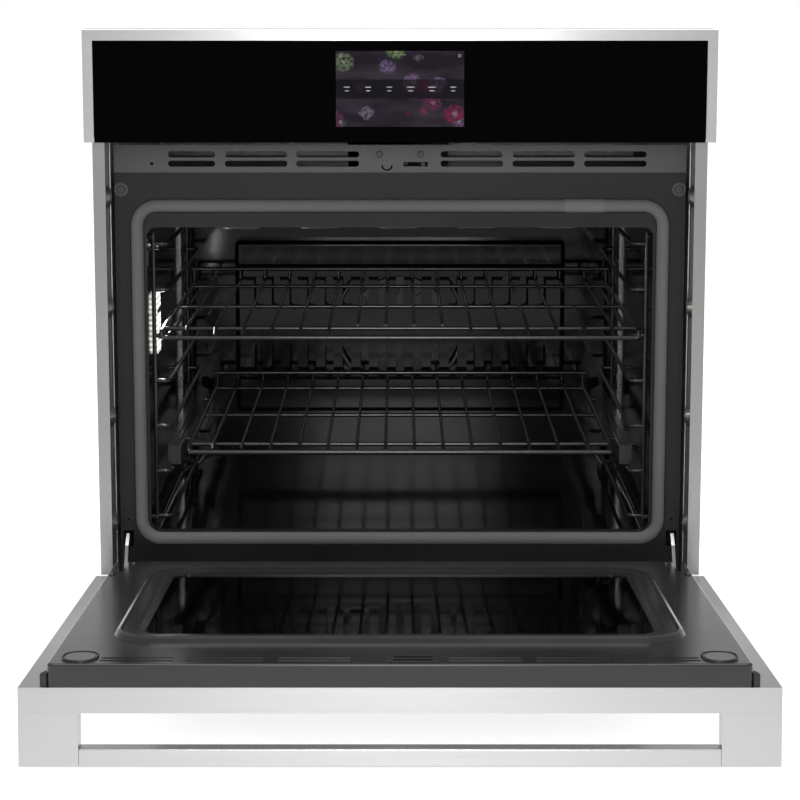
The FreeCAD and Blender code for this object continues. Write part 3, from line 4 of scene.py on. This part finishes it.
import bmesh
import bpy
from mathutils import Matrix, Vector


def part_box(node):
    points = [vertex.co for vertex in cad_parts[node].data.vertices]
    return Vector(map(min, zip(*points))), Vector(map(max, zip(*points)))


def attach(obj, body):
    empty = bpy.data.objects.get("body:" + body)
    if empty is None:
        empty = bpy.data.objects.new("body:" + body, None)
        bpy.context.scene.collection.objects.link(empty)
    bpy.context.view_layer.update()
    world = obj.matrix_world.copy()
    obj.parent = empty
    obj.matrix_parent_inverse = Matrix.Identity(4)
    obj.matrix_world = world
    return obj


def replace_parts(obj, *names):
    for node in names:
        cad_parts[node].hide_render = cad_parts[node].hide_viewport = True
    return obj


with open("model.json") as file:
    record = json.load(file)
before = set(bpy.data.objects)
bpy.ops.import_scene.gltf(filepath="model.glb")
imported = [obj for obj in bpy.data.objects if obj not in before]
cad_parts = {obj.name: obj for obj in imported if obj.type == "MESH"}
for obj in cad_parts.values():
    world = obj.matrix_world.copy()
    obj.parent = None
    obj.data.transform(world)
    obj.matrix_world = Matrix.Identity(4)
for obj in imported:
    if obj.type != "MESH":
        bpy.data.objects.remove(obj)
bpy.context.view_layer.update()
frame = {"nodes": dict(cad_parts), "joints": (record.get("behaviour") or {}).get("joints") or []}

NODES = frame["nodes"]
SCENE = bpy.context.scene


DOOR_HINGE = next(joint for joint in frame["joints"] if joint["name"] == "door_hinge")
HINGE = Vector(DOOR_HINGE["pos_m"])          # the door turns about a line across the oven, through this point
SWING = radians(DOOR_HINGE["range_deg"][1])
FRONT = -0.295                               # the plane that depths on the door are counted from
STRIKE_FACE = -8.0                           # depth of the strike plate's face, in millimetres
RIM = Vector((0.0091, 0.0, 0.0091))          # how far the display's casing reaches past what is seen of it
SCREEN = (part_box("display_module")[0] + RIM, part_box("display_module")[1] - RIM)
BAND_HALF = 0.0115                           # half the height of the display's menu band
LINER_NORMAL = Vector((0.0, cos(SWING), sin(SWING)))


def on_door(x, depth, z):
    """A place on the closed door, in millimetres, carried to where the open door rests, in metres."""
    back = FRONT + depth / 1000 - HINGE.y
    up = z / 1000 - HINGE.z
    y = HINGE.y + back * cos(SWING) - up * sin(SWING)
    return Vector((x / 1000, y, HINGE.z + back * sin(SWING) + up * cos(SWING)))


# ---------------------------------------------------------------- shader helpers
def start(name, color, metallic=0.0, roughness=0.5, specular=0.5):
    """A new material: its node tree and its Principled shader."""
    made = bpy.data.materials.new(name)
    made.use_nodes = True
    tree = made.node_tree
    shader = tree.nodes["Principled BSDF"]
    shader.inputs["Base Color"].default_value = (*color, 1.0)
    shader.inputs["Metallic"].default_value = metallic
    shader.inputs["Roughness"].default_value = roughness
    shader.inputs["Specular IOR Level"].default_value = specular
    return made, tree, shader


def place(tree, scale=(1, 1, 1), shift=(0, 0, 0), source="Object"):
    """Object coordinates in metres, stretched by scale."""
    coords = tree.nodes.new("ShaderNodeTexCoord")
    mapping = tree.nodes.new("ShaderNodeMapping")
    mapping.inputs["Scale"].default_value = scale
    mapping.inputs["Location"].default_value = shift
    tree.links.new(coords.outputs[source], mapping.inputs["Vector"])
    return mapping.outputs["Vector"]


def noise(tree, vector, scale, detail=3.0, rough=0.55):
    node = tree.nodes.new("ShaderNodeTexNoise")
    node.inputs["Scale"].default_value = scale
    node.inputs["Detail"].default_value = detail
    node.inputs["Roughness"].default_value = rough
    tree.links.new(vector, node.inputs["Vector"])
    return node.outputs["Fac"]


def cells(tree, vector, scale, output="Color"):
    node = tree.nodes.new("ShaderNodeTexVoronoi")
    node.inputs["Scale"].default_value = scale
    tree.links.new(vector, node.inputs["Vector"])
    return node.outputs[output]


def spread(tree, value, low, high, out_low, out_high):
    """Maps a value from one range to another."""
    node = tree.nodes.new("ShaderNodeMapRange")
    node.inputs["From Min"].default_value = low
    node.inputs["From Max"].default_value = high
    node.inputs["To Min"].default_value = out_low
    node.inputs["To Max"].default_value = out_high
    tree.links.new(value, node.inputs["Value"])
    return node.outputs["Result"]


def maths(tree, kind, a, b=0.0):
    node = tree.nodes.new("ShaderNodeMath")
    node.operation = kind
    for slot_number, item in enumerate((a, b)):
        if isinstance(item, (int, float)):
            node.inputs[slot_number].default_value = item
        else:
            tree.links.new(item, node.inputs[slot_number])
    return node.outputs[0]


def ramp(tree, value, *stops):
    """Colours along a value: stops are (place, colour)."""
    node = tree.nodes.new("ShaderNodeValToRGB")
    line = node.color_ramp.elements
    while len(line) < len(stops):
        line.new(0.5)
    for element, (at, color) in zip(line, stops):
        element.position = at
        element.color = (*color, 1.0)
    tree.links.new(value, node.inputs["Fac"])
    return node.outputs["Color"]


def blended(tree, amount, a, b):
    """One colour turning into another as the amount goes from 0 to 1."""
    node = tree.nodes.new("ShaderNodeMix")
    node.data_type = "RGBA"
    for key, item in (("Factor", amount), ("A", a), ("B", b)):
        sockets = [s for s in node.inputs if s.name == key and s.enabled]
        if isinstance(item, (int, float)):
            sockets[0].default_value = item
        elif isinstance(item, tuple):
            sockets[0].default_value = (*item, 1.0)
        else:
            tree.links.new(item, sockets[0])
    return [s for s in node.outputs if s.enabled][0]


def bump(tree, shader, height, distance):
    node = tree.nodes.new("ShaderNodeBump")
    node.inputs["Strength"].default_value = 1.0
    node.inputs["Distance"].default_value = distance
    tree.links.new(height, node.inputs["Height"])
    tree.links.new(node.outputs["Normal"], shader.inputs["Normal"])


def feed(tree, shader, socket, value):
    tree.links.new(value, shader.inputs[socket])


def toned(color, factor):
    """A colour made darker or lighter."""
    return tuple(min(1.0, c * factor) for c in color)


def split(tree, vector):
    node = tree.nodes.new("ShaderNodeSeparateXYZ")
    tree.links.new(vector, node.inputs[0])
    return node.outputs


# ---------------------------------------------------------------- materials
def brushed(name, color, along, roughness):
    """Brushed metal: fine lines along one axis that stretch its highlights across them."""
    made, tree, shader = start(name, color, metallic=1.0)
    fine_scale = tuple(9 if axis == along else 3400 for axis in "XYZ")
    broad_scale = tuple(3 if axis == along else 620 for axis in "XYZ")
    fine = noise(tree, place(tree, fine_scale), 1.0, 4.0, 0.7)
    broad = noise(tree, place(tree, broad_scale), 1.0, 2.0)
    patch = noise(tree, place(tree), 5.0, 2.0)
    lines = maths(tree, "ADD", maths(tree, "MULTIPLY", fine, 0.65), maths(tree, "MULTIPLY", broad, 0.35))
    feed(tree, shader, "Base Color", ramp(tree, lines, (0.3, toned(color, 0.965)), (0.7, toned(color, 1.035))))
    worn = maths(tree, "ADD", spread(tree, lines, 0.3, 0.7, roughness - 0.03, roughness + 0.04),
                 spread(tree, patch, 0.3, 0.7, -0.015, 0.015))
    feed(tree, shader, "Roughness", worn)
    shader.inputs["Anisotropic"].default_value = 0.75
    shader.inputs["Anisotropic Rotation"].default_value = 0.25 if along == "X" else 0.0
    bump(tree, shader, lines, 0.000012)
    return made


def enamel(name, color, roughness, peel=0.00006, fleck=0.0, specular=0.5):
    """Fired enamel: orange peel, faint cloudiness and, inside the cavity, pale flecks."""
    made, tree, shader = start(name, color, roughness=roughness, specular=specular)
    surface = noise(tree, place(tree), 420.0, 3.0)
    swell = noise(tree, place(tree), 34.0, 2.0)
    cloud = noise(tree, place(tree), 7.0, 3.0)
    shade = ramp(tree, cloud, (0.3, toned(color, 0.86)), (0.7, toned(color, 1.14)))
    if fleck:
        dots = cells(tree, place(tree), 520.0, "Distance")
        near = spread(tree, dots, 0.10, 0.16, fleck, 0.0)
        shade = blended(tree, near, shade, (0.42, 0.42, 0.43))
    feed(tree, shader, "Base Color", shade)
    feed(tree, shader, "Roughness", spread(tree, cloud, 0.3, 0.7, roughness * 0.8, roughness * 1.25))
    height = maths(tree, "ADD", maths(tree, "MULTIPLY", surface, 0.3), swell)
    bump(tree, shader, height, peel)
    return made


def zinc(name, color=(0.50, 0.51, 0.52)):
    """Zinc coated sheet: crystal spangle with its own tone and shine in each cell."""
    made, tree, shader = start(name, color, metallic=1.0)
    warp = noise(tree, place(tree), 90.0, 2.0)
    spangle = cells(tree, place(tree), 130.0, "Color")
    tone = split(tree, spangle)[0]
    mixed = maths(tree, "ADD", maths(tree, "MULTIPLY", tone, 0.7), maths(tree, "MULTIPLY", warp, 0.3))
    feed(tree, shader, "Base Color", ramp(tree, mixed, (0.1, toned(color, 0.90)),
                                          (0.9, toned(color, 1.08))))
    feed(tree, shader, "Roughness", spread(tree, mixed, 0.1, 0.9, 0.30, 0.48))
    bump(tree, shader, mixed, 0.00003)
    return made


def plain_metal(name, color, roughness, metallic=1.0, grain=900.0):
    """Metal or painted wire with a fine grain and a slow cloud of tone and gloss."""
    made, tree, shader = start(name, color, metallic=metallic)
    fine = noise(tree, place(tree), grain, 4.0)
    cloud = noise(tree, place(tree), 22.0, 3.0)
    feed(tree, shader, "Base Color", ramp(tree, cloud, (0.3, toned(color, 0.85)),
                                          (0.7, toned(color, 1.12))))
    feed(tree, shader, "Roughness", spread(tree, cloud, 0.3, 0.7, roughness * 0.8, roughness * 1.2))
    bump(tree, shader, fine, 0.00002)
    return made


def glassy(name, color, roughness, specular):
    """Dark glass: clean, with a very faint haze in its gloss."""
    made, tree, shader = start(name, color, roughness=roughness, specular=specular)
    haze = noise(tree, place(tree), 9.0, 3.0)
    feed(tree, shader, "Roughness", spread(tree, haze, 0.3, 0.7, roughness * 0.6, roughness * 1.6))
    wave = noise(tree, place(tree), 14.0, 1.0)
    bump(tree, shader, wave, 0.00002)
    return made


def fibre(name, color, scale, depth):
    made, tree, shader = start(name, color, roughness=0.95, specular=0.2)
    threads = noise(tree, place(tree, (1, 1, 3)), scale, 6.0, 0.75)
    tufts = noise(tree, place(tree), scale * 0.1, 3.0)
    feed(tree, shader, "Base Color", ramp(tree, threads, (0.3, toned(color, 0.7)),
                                          (0.7, toned(color, 1.2))))
    bump(tree, shader, maths(tree, "ADD", threads, tufts), depth)
    return made


def lit_lens(name):
    """Ribbed borosilicate lamp glass with the lamp on behind it."""
    made, tree, shader = start(name, (0.9, 0.9, 0.88), roughness=0.12)
    z = split(tree, place(tree))[2]
    ribs = maths(tree, "SINE", maths(tree, "MULTIPLY", z, 900.0))
    cloud = noise(tree, place(tree), 60.0, 2.0)
    glow = ramp(tree, maths(tree, "MULTIPLY", spread(tree, ribs, -1, 1, 0.3, 1.0), cloud),
                (0.15, (0.25, 0.24, 0.21)), (0.55, (1.0, 0.97, 0.9)))
    feed(tree, shader, "Emission Color", glow)
    shader.inputs["Emission Strength"].default_value = 1.6
    bump(tree, shader, ribs, 0.0004)
    return made


def braid(name, color):
    """Braided glass fibre: two families of strands that cross, laid along the tube's own length."""
    made, tree, shader = start(name, color, roughness=0.85, specular=0.3)
    along, around = split(tree, place(tree, source="UV"))[:2]
    turns = maths(tree, "MULTIPLY", around, 12.0)
    right = maths(tree, "SINE", maths(tree, "MULTIPLY", maths(tree, "ADD", along, turns), 2 * pi))
    left = maths(tree, "SINE", maths(tree, "MULTIPLY", maths(tree, "SUBTRACT", along, turns), 2 * pi))
    strands = spread(tree, maths(tree, "MAXIMUM", right, left), -0.6, 1.0, 0.0, 1.0)
    fuzz = noise(tree, place(tree), 1600.0, 4.0, 0.7)
    soiled = noise(tree, place(tree), 11.0, 3.0)
    tone = maths(tree, "MULTIPLY", strands, spread(tree, soiled, 0.3, 0.7, 0.8, 1.0))
    feed(tree, shader, "Base Color", ramp(tree, tone, (0.0, toned(color, 0.55)),
                                          (1.0, toned(color, 1.15))))
    bump(tree, shader, maths(tree, "ADD", strands, maths(tree, "MULTIPLY", fuzz, 0.4)), 0.00035)
    return made


def latch_enamel(name):
    """The strike plate's enamel, with painted shade: the walls of its two slots turned near black."""
    made, tree, shader = start(name, (0.03, 0.03, 0.03), roughness=0.25, specular=0.35)
    _, y, z = split(tree, place(tree))
    level = maths(tree, "ADD", maths(tree, "MULTIPLY", y, LINER_NORMAL.y),
                  maths(tree, "MULTIPLY", z, LINER_NORMAL.z))
    face = LINER_NORMAL.dot(on_door(0, STRIKE_FACE, 300))
    # painted shade: below the plate's face the slot walls go near black, so the slots read as dark shade
    shade = spread(tree, level, face - 0.0003, face - 0.0001, 0.0, 1.0)
    cloud = noise(tree, place(tree), 30.0, 3.0)
    clean = ramp(tree, cloud, (0.3, (0.026, 0.026, 0.027)), (0.7, (0.034, 0.034, 0.035)))
    feed(tree, shader, "Base Color", blended(tree, shade, (0.001, 0.001, 0.001), clean))
    feed(tree, shader, "Roughness", spread(tree, shade, 0.0, 1.0, 0.9, 0.25))
    bump(tree, shader, noise(tree, place(tree), 420.0, 3.0), 0.00003)
    return made


def lit_icon(name):
    """Pale lit marks on the display, a little uneven as its backlight is."""
    made, tree, shader = start(name, (0.02, 0.02, 0.02), roughness=0.2, specular=0.1)
    glow = noise(tree, place(tree), 120.0, 1.0)
    feed(tree, shader, "Emission Color", ramp(tree, glow, (0.3, (0.30, 0.30, 0.31)), (0.7, (0.42, 0.42, 0.43))))
    shader.inputs["Emission Strength"].default_value = 0.9
    return made


def two_tone_screws(name):
    """Dark screws on the front face, zinc ones on the outer panels."""
    made, tree, shader = start(name, (0.5, 0.5, 0.5), roughness=0.38)
    depth = split(tree, place(tree))[1]
    back = spread(tree, depth, -0.285, -0.275, 0.0, 1.0)
    fine = noise(tree, place(tree), 900.0, 3.0)
    dark = ramp(tree, fine, (0.3, (0.018, 0.018, 0.019)), (0.7, (0.03, 0.03, 0.031)))
    zinc_tone = ramp(tree, fine, (0.3, (0.50, 0.50, 0.51)), (0.7, (0.66, 0.66, 0.67)))
    feed(tree, shader, "Base Color", blended(tree, back, dark, zinc_tone))
    feed(tree, shader, "Metallic", back)
    bump(tree, shader, fine, 0.00003)
    return made


def touch_screen(name):
    """The lit display: dark plum and green blooms over a dim wash, with a black menu band across the middle."""
    made, tree, shader = start(name, (0.004, 0.003, 0.005), roughness=0.08, specular=0.1)
    low, high = SCREEN
    warp = noise(tree, place(tree), 60.0, 3.0)
    spots = maths(tree, "ADD", cells(tree, place(tree, (1, 1, 1.1), (0.031, 0, 0.011)), 34.0, "Distance"),
                  spread(tree, warp, 0.3, 0.7, -0.10, 0.10))
    hue = split(tree, cells(tree, place(tree, (1, 1, 1.1), (0.031, 0, 0.011)), 34.0, "Color"))[0]
    veins = noise(tree, place(tree), 260.0, 5.0, 0.75)
    petals = ramp(tree, hue, (0.10, (0.24, 0.020, 0.060)), (0.35, (0.10, 0.008, 0.040)),
                  (0.60, (0.16, 0.12, 0.24)), (0.80, (0.10, 0.16, 0.05)))
    body = spread(tree, spots, 0.30, 0.44, 1.0, 0.0)
    glint = spread(tree, spots, 0.0, 0.16, 0.8, 0.0)
    lit = maths(tree, "MULTIPLY", body, spread(tree, veins, 0.42, 0.58, 0.05, 1.5))
    wash = ramp(tree, noise(tree, place(tree, (1, 1, 3)), 14.0, 3.0), (0.35, (0.007, 0.005, 0.008)),
                (0.65, (0.036, 0.028, 0.038)))
    picture = blended(tree, lit, wash, petals)
    picture = blended(tree, maths(tree, "MULTIPLY", glint, veins), picture, (0.80, 0.62, 0.68))
    z = split(tree, place(tree))[2]
    away = maths(tree, "ABSOLUTE", maths(tree, "SUBTRACT", z, (low.z + high.z) / 2))
    band = spread(tree, away, BAND_HALF - 0.0003, BAND_HALF + 0.0003, 0.86, 0.0)
    shown = blended(tree, band, picture, (0.001, 0.001, 0.001))
    feed(tree, shader, "Emission Color", shown)
    shader.inputs["Emission Strength"].default_value = 0.8
    return made


M = {
    "stainless": brushed("brushed_stainless", (0.47, 0.47, 0.467), "X", 0.30),
    "stainless_up": brushed("brushed_stainless_upright", (0.32, 0.318, 0.312), "Z", 0.34),
    "frame": enamel("frame_enamel", (0.011, 0.011, 0.0115), 0.34, specular=0.22),
    "vent": enamel("vent_enamel", (0.044, 0.044, 0.045), 0.36),
    "liner": enamel("door_enamel", (0.020, 0.020, 0.021), 0.20, peel=0.00003, specular=0.42),
    "strike": latch_enamel("latch_enamel"),
    "cavity": enamel("cavity_enamel", (0.0028, 0.0028, 0.003), 0.10, peel=0.00002, fleck=0.22, specular=0.20),
    "zinc": zinc("zinc_sheet"),
    # painted shade: the air deck, blower and lock parts behind the slots get a near-black tone in place of their
    # lighter metal, so the slots read as dark shade
    "inner_parts_shade_dark": plain_metal("inner_duct_painted_shade", (0.05, 0.05, 0.052), 0.45, metallic=0.6),
    "black_glass": glassy("black_glass", (0.0003, 0.0003, 0.0004), 0.05, 0.03),
    "door_glass": glassy("door_glass", (0.0005, 0.0005, 0.0006), 0.05, 0.05),
    "wool": fibre("mineral_wool", (0.74, 0.70, 0.60), 400.0, 0.002),
    "gasket": braid("glass_fibre_braid", (0.135, 0.135, 0.135)),
    "rubber": enamel("black_rubber", (0.008, 0.008, 0.008), 0.5),
    "icon": lit_icon("display_icon"),
    "sleeve": fibre("gasket_sleeve", (0.15, 0.15, 0.15), 1500.0, 0.00008),
    "chrome": plain_metal("bright_chrome", (0.34, 0.34, 0.355), 0.20),
    "dim": plain_metal("dark_dome_screws", (0.09, 0.09, 0.092), 0.30),
    "wire": plain_metal("rack_enamel_wire", (0.014, 0.014, 0.015), 0.16, metallic=0.0, grain=500.0),
    "glide": plain_metal("glide_black_steel", (0.014, 0.014, 0.015), 0.24, metallic=0.0),
    "bright": plain_metal("satin_steel", (0.42, 0.42, 0.42), 0.32),
    "baffle": plain_metal("air_strip_steel", (0.22, 0.22, 0.22), 0.28),
    "fan": plain_metal("fan_dark_steel", (0.045, 0.045, 0.046), 0.35, metallic=0.8),
    "screws": two_tone_screws("recessed_screws"),
    "element": plain_metal("element_alloy", (0.11, 0.10, 0.095), 0.45, metallic=0.7, grain=1500.0),
    "motor": plain_metal("motor_steel", (0.25, 0.25, 0.27), 0.40),
    "board": plain_metal("circuit_board", (0.03, 0.16, 0.07), 0.35, metallic=0.0, grain=1200.0),
    "lens": lit_lens("lamp_glass"),
    "screen": touch_screen("touch_display"),
}

FINISH = {
    "stainless": ("door_skin", "handle_bar", "handle_ends", "control_panel_frame"),
    "stainless_up": ("side_trim_left", "side_trim_right"),
    "frame": ("front_frame", "bottom_vent_trim"),
    "vent": ("vent_panel",),
    "liner": ("door_liner", "door_bumpers"),
    "strike": ("strike_plate",),
    "dim": ("door_screws",),
    "cavity": ("cavity_liner", "fan_cover", "lamp_housing"),
    "baffle": ("rear_baffles",),
    "zinc": ("base_panel", "side_panel_left", "side_panel_right", "back_panel", "top_panel", "control_bracket",
             "hinge_bodies"),
    # the dark tone of these parts is painted shade behind the vent and latch slots
    "inner_parts_shade_dark": ("air_deck", "blower_housing", "lock_body", "lock_hook", "blower_motor", "blower_wheel"),
    "black_glass": ("control_glass", "door_outer_glass"),
    "screen": ("display_module",),
    "door_glass": ("door_inner_glass", "door_middle_glass"),
    "wool": ("cavity_insulation", "door_insulation"),
    "sleeve": ("gasket_joiner",),
    "chrome": ("hinge_arms", "hinge_pins", "probe_jack"),
    "wire": ("upper_rack", "lower_rack", "ladder_left", "ladder_right"),
    "glide": ("glide_outer_rails", "glide_middle_members", "glide_inner_members"),
    "screws": ("chassis_screws",),
    "bright": ("hinge_springs", "conduit_gland", "temperature_sensor"),
    "fan": ("convection_fan",),
    "element": ("bake_element", "broil_element", "convection_element"),
    "motor": ("convection_motor",),
    "board": ("control_board",),
    "lens": ("lamp_lens",),
}
for key, names in FINISH.items():
    for node in names:
        NODES[node].data.materials.clear()
        NODES[node].data.materials.append(M[key])
        for face in NODES[node].data.polygons:
            face.material_index = 0


# ---------------------------------------------------------------- extra pieces
def add_piece(name, built, material, body, smooth=True):
    """A new visible piece made from a bmesh, riding on a body."""
    mesh = bpy.data.meshes.new(name)
    bmesh.ops.recalc_face_normals(built, faces=built.faces[:])
    built.to_mesh(mesh)
    built.free()
    for face in mesh.polygons:
        face.use_smooth = smooth
    mesh.materials.append(M[material])
    piece = bpy.data.objects.new(name, mesh)
    SCENE.collection.objects.link(piece)
    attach(piece, body)
    return piece


def between(last, head, pieces):
    """The points that divide a straight run, without its two ends."""
    return [(last[0] + (head[0] - last[0]) * k / pieces, last[1] + (head[1] - last[1]) * k / pieces)
            for k in range(1, pieces)]


def loop_points(x_ends, z0, z1, corner, straight):
    """A rounded rectangle in the x-z plane, as points in order, with each side in this many pieces."""
    points = []
    steps = 10
    x0, x1 = x_ends
    corners = [(x1 - corner, z1 - corner, 0), (x0 + corner, z1 - corner, 90),
               (x0 + corner, z0 + corner, 180), (x1 - corner, z0 + corner, 270)]
    for cx, cz, first in corners:
        turns = [radians(first + 90 * k / steps) for k in range(steps + 1)]
        arc = [(cx + corner * cos(turn), cz + corner * sin(turn)) for turn in turns]
        if points:
            points += between(points[-1], arc[0], straight)
        points += arc
    return points + between(points[-1], points[0], straight)


def tube_loop(points, to_world, radius, sides, uv_step=1.0):
    """A round tube along a closed flat loop, with its length in uv_steps and its girth as texture coordinates."""
    built = bmesh.new()
    uv = built.loops.layers.uv.new("UVMap")
    rings, lengths, total = [], [0.0], 0.0
    count = len(points)
    for k in range(count):
        before, here, after = (Vector(points[j % count]) for j in (k - 1, k, k + 1))
        side = (after - before).normalized().orthogonal()
        ring = []
        for n in range(sides):
            turn = 2 * pi * n / sides
            flat = here + side * (radius * cos(turn))
            ring.append(built.verts.new(to_world(flat.x, radius * sin(turn), flat.y)))
        rings.append(ring)
        total += (after - here).length
        lengths.append(total)
    for k in range(count):
        for n in range(sides):
            m = (n + 1) % sides
            ahead = rings[(k + 1) % count]
            face = built.faces.new((rings[k][n], rings[k][m], ahead[m], ahead[n]))
            marks = ((lengths[k], n), (lengths[k], n + 1), (lengths[k + 1], n + 1), (lengths[k + 1], n))
            for corner_loop, (u, v) in zip(face.loops, marks):
                corner_loop[uv].uv = (u / uv_step, v / sides)
    return built


def solid_plate(outline, thickness, to_world, soften=0.0):
    """A flat plate with this outline, its edges rounded off where a softening is given."""
    built = bmesh.new()
    base = [built.verts.new(to_world(a, 0.0, b)) for a, b in outline]
    face = built.faces.new(base)
    pushed = bmesh.ops.extrude_face_region(built, geom=[face])
    a, b = outline[0]
    lift = to_world(a, thickness, b) - to_world(a, 0.0, b)
    raised = [v for v in pushed["geom"] if isinstance(v, bmesh.types.BMVert)]
    bmesh.ops.translate(built, verts=raised, vec=lift)
    if soften:
        bmesh.ops.bevel(built, geom=built.edges[:], offset=soften, segments=2, affect="EDGES",
                        clamp_overlap=True)
    return built


def oval(cx, cz, half_w, half_h, steps=20):
    """Points round an oval, in order."""
    turns = [2 * pi * k / steps for k in range(steps)]
    return [(cx + half_w * cos(turn), cz + half_h * sin(turn)) for turn in turns]


def gasket():
    """The braided tube, which stands for the plain CAD one."""
    low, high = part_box("door_gasket")
    radius = (high.y - low.y) / 2
    points = loop_points((low.x + radius, high.x - radius), low.z + radius, high.z - radius, 0.025, 60)
    depth = (low.y + high.y) / 2
    built = tube_loop(points, lambda x, out, z: Vector((x, depth - out, z)), radius - 0.0001, 24,
                      uv_step=0.0042)
    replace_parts(add_piece("gasket_braid", built, "gasket", "chassis"), "door_gasket")


def door_details():
    """The pads' outlines, dark tubes whose colour is painted shade along the pads' embossed edges, and the two
    dark corner guards beside the door liner.
    """
    for side, word in ((-1, "left"), (1, "right")):
        reach = sorted((side * 304.6, side * 339.4))
        points = loop_points(reach, 548.1, 588.9, 15.5, 6)
        # painted shade: the outline tube is dark where the pads' embossed edge would only be shaded
        built = tube_loop(points, lambda x, out, z: on_door(x, -7.6 + out, z), 0.55, 8)
        add_piece("pad_outline_" + word, built, "rubber", "door")
        inner, outer = side * 352.3, side * 359.0
        guard = [(inner, 571.0), (inner, 595.2), (outer, 595.2), (outer, 588.0)]
        built = solid_plate(guard, 13.0, lambda x, out, z: on_door(x, -32.9 + out, z), soften=0.0005)
        add_piece("corner_guard_" + word, built, "rubber", "door", smooth=False)


def display_marks():
    """Generic marks on the display: six pairs of bars in the menu band, a ring in each corner and five dots."""
    low, high = SCREEN
    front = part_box("display_module")[0].y
    centre = (low + high) / 2
    stand_off, film, inset, ring = 0.00008, 0.00003, 0.0055, 0.0016

    def face_out(x, out, z):
        return Vector((x, front - stand_off - out, z))

    def flat_mark(name, outline):
        add_piece(name, solid_plate(outline, film, face_out), "icon", "chassis", smooth=False)

    for number in range(6):
        x = low.x + (high.x - low.x) * (0.085 + 0.166 * number)
        half = 0.0052 if number in (3, 4) else 0.0040
        for word, row, share in (("upper", 0.0022, 1.0), ("lower", -0.0022, 0.7)):
            flat_mark(f"menu_bar_{number}_{word}", oval(x, centre.z + row, half * share, 0.0007))
    for side, x in (("left", low.x + inset), ("right", high.x - inset)):
        for end, z in (("top", high.z - inset), ("bottom", low.z + inset)):
            built = tube_loop(oval(x, z, ring, ring), face_out, 0.00028, 6)
            add_piece(f"corner_ring_{end}_{side}", built, "icon", "chassis")
    for number in range(5):
        x = centre.x - 0.006 + 0.003 * number
        flat_mark(f"status_dot_{number}", oval(x, high.z - 0.0045, 0.0008, 0.0005, 12))


def lamp_clips():
    """Two spring clips that hold the lamp's glass, with a bead pressed along each."""
    low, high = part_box("lamp_lens")
    middle = (low.y + high.y) / 2
    half = (high.y - low.y) / 2 + 0.004
    face, thickness = high.x + 0.0006, 0.0008

    def on_face(y, out, z):
        return Vector((face + out, y, z))

    def on_clip(y, out, z):
        return on_face(y, out + thickness, z)

    for number, share in ((1, 0.28), (2, 0.72)):
        z = low.z + (high.z - low.z) * share
        plate = solid_plate(oval(middle, z, half, 0.0035, 28), thickness, on_face, 0.0003)
        add_piece(f"lamp_clip_{number}", plate, "chrome", "chassis", smooth=False)
        bead = tube_loop(oval(middle, z, half * 0.8, 0.0012, 28), on_clip, 0.0005, 8)
        add_piece(f"lamp_clip_bead_{number}", bead, "chrome", "chassis")


gasket()
door_details()
display_marks()
lamp_clips()


# ---------------------------------------------------------------- floor, light and camera
def studio():
    floor_mesh = bpy.data.meshes.new("floor")
    built = bmesh.new()
    bmesh.ops.create_grid(built, x_segments=4, y_segments=4, size=60.0)
    built.to_mesh(floor_mesh)
    built.free()
    floor = bpy.data.objects.new("floor", floor_mesh)
    SCENE.collection.objects.link(floor)
    floor.location.z = -0.0006
    made, tree, shader = start("pale_floor", (0.55, 0.55, 0.55), roughness=0.7, specular=0.05)
    grain = noise(tree, place(tree), 60.0, 2.0)
    feed(tree, shader, "Base Color", ramp(tree, grain, (0.3, (0.54, 0.54, 0.54)), (0.7, (0.56, 0.56, 0.56))))
    # painted light: the floor glows, more strongly towards the oven, which lifts the shadow of the open door on
    # the floor
    shader.inputs["Emission Color"].default_value = (1.0, 1.0, 1.0, 1.0)
    away = split(tree, place(tree))[1]
    feed(tree, shader, "Emission Strength", spread(tree, away, -2.6, -1.1, 0.30, 0.84))
    floor_mesh.materials.append(made)

    world = bpy.data.worlds.new("studio")
    SCENE.world = world
    world.use_nodes = True
    tree = world.node_tree
    sky = tree.nodes["Background"]
    height = split(tree, place(tree, source="Generated"))[2]
    dome = ramp(tree, spread(tree, height, -1, 1, 0, 1), (0.45, (1.0, 1.0, 1.0)), (0.53, (1.0, 1.0, 1.0)),
                (0.60, (0.45, 0.45, 0.45)), (1.0, (0.55, 0.55, 0.55)))
    tree.links.new(dome, sky.inputs["Color"])
    sky.inputs["Strength"].default_value = 1.0

    def softbox(name, at, aim, size, power):
        lamp = bpy.data.lights.new(name, "AREA")
        lamp.shape = "RECTANGLE"
        lamp.size, lamp.size_y = size
        lamp.energy = power
        holder = bpy.data.objects.new(name, lamp)
        SCENE.collection.objects.link(holder)
        holder.location = at
        holder.rotation_mode = "QUATERNION"
        holder.rotation_quaternion = (Vector(aim) - Vector(at)).to_track_quat("-Z", "Y")

    # the two soft lights, and a small one inside the cavity beside the lamp's glass
    softbox("overhead", (0.0, -0.9, 3.2), (0.0, -0.2, 0.3), (2.2, 1.8), 55)
    softbox("front_box", (0.0, -3.6, 1.5), (0.0, -0.4, 0.3), (0.55, 1.6), 34)
    low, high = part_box("lamp_lens")
    middle = (low + high) / 2
    softbox("oven_lamp", (high.x + 0.004, middle.y, middle.z), (high.x + 1, middle.y, middle.z - 0.1),
            (high.y - low.y, high.z - low.z), 0.5)


def camera():
    lens = bpy.data.cameras.new("camera")
    holder = bpy.data.objects.new("camera", lens)
    SCENE.collection.objects.link(holder)
    SCENE.camera = holder
    lens.sensor_width = 36.0
    lens.lens = 98.94
    lens.shift_y = -0.10
    holder.location = (0.0, -3.0044, 0.7874)
    look_down = 8.635
    holder.rotation_euler = (radians(90 - look_down), 0.0, 0.0)


studio()
camera()
SCENE.view_settings.view_transform = "Standard"
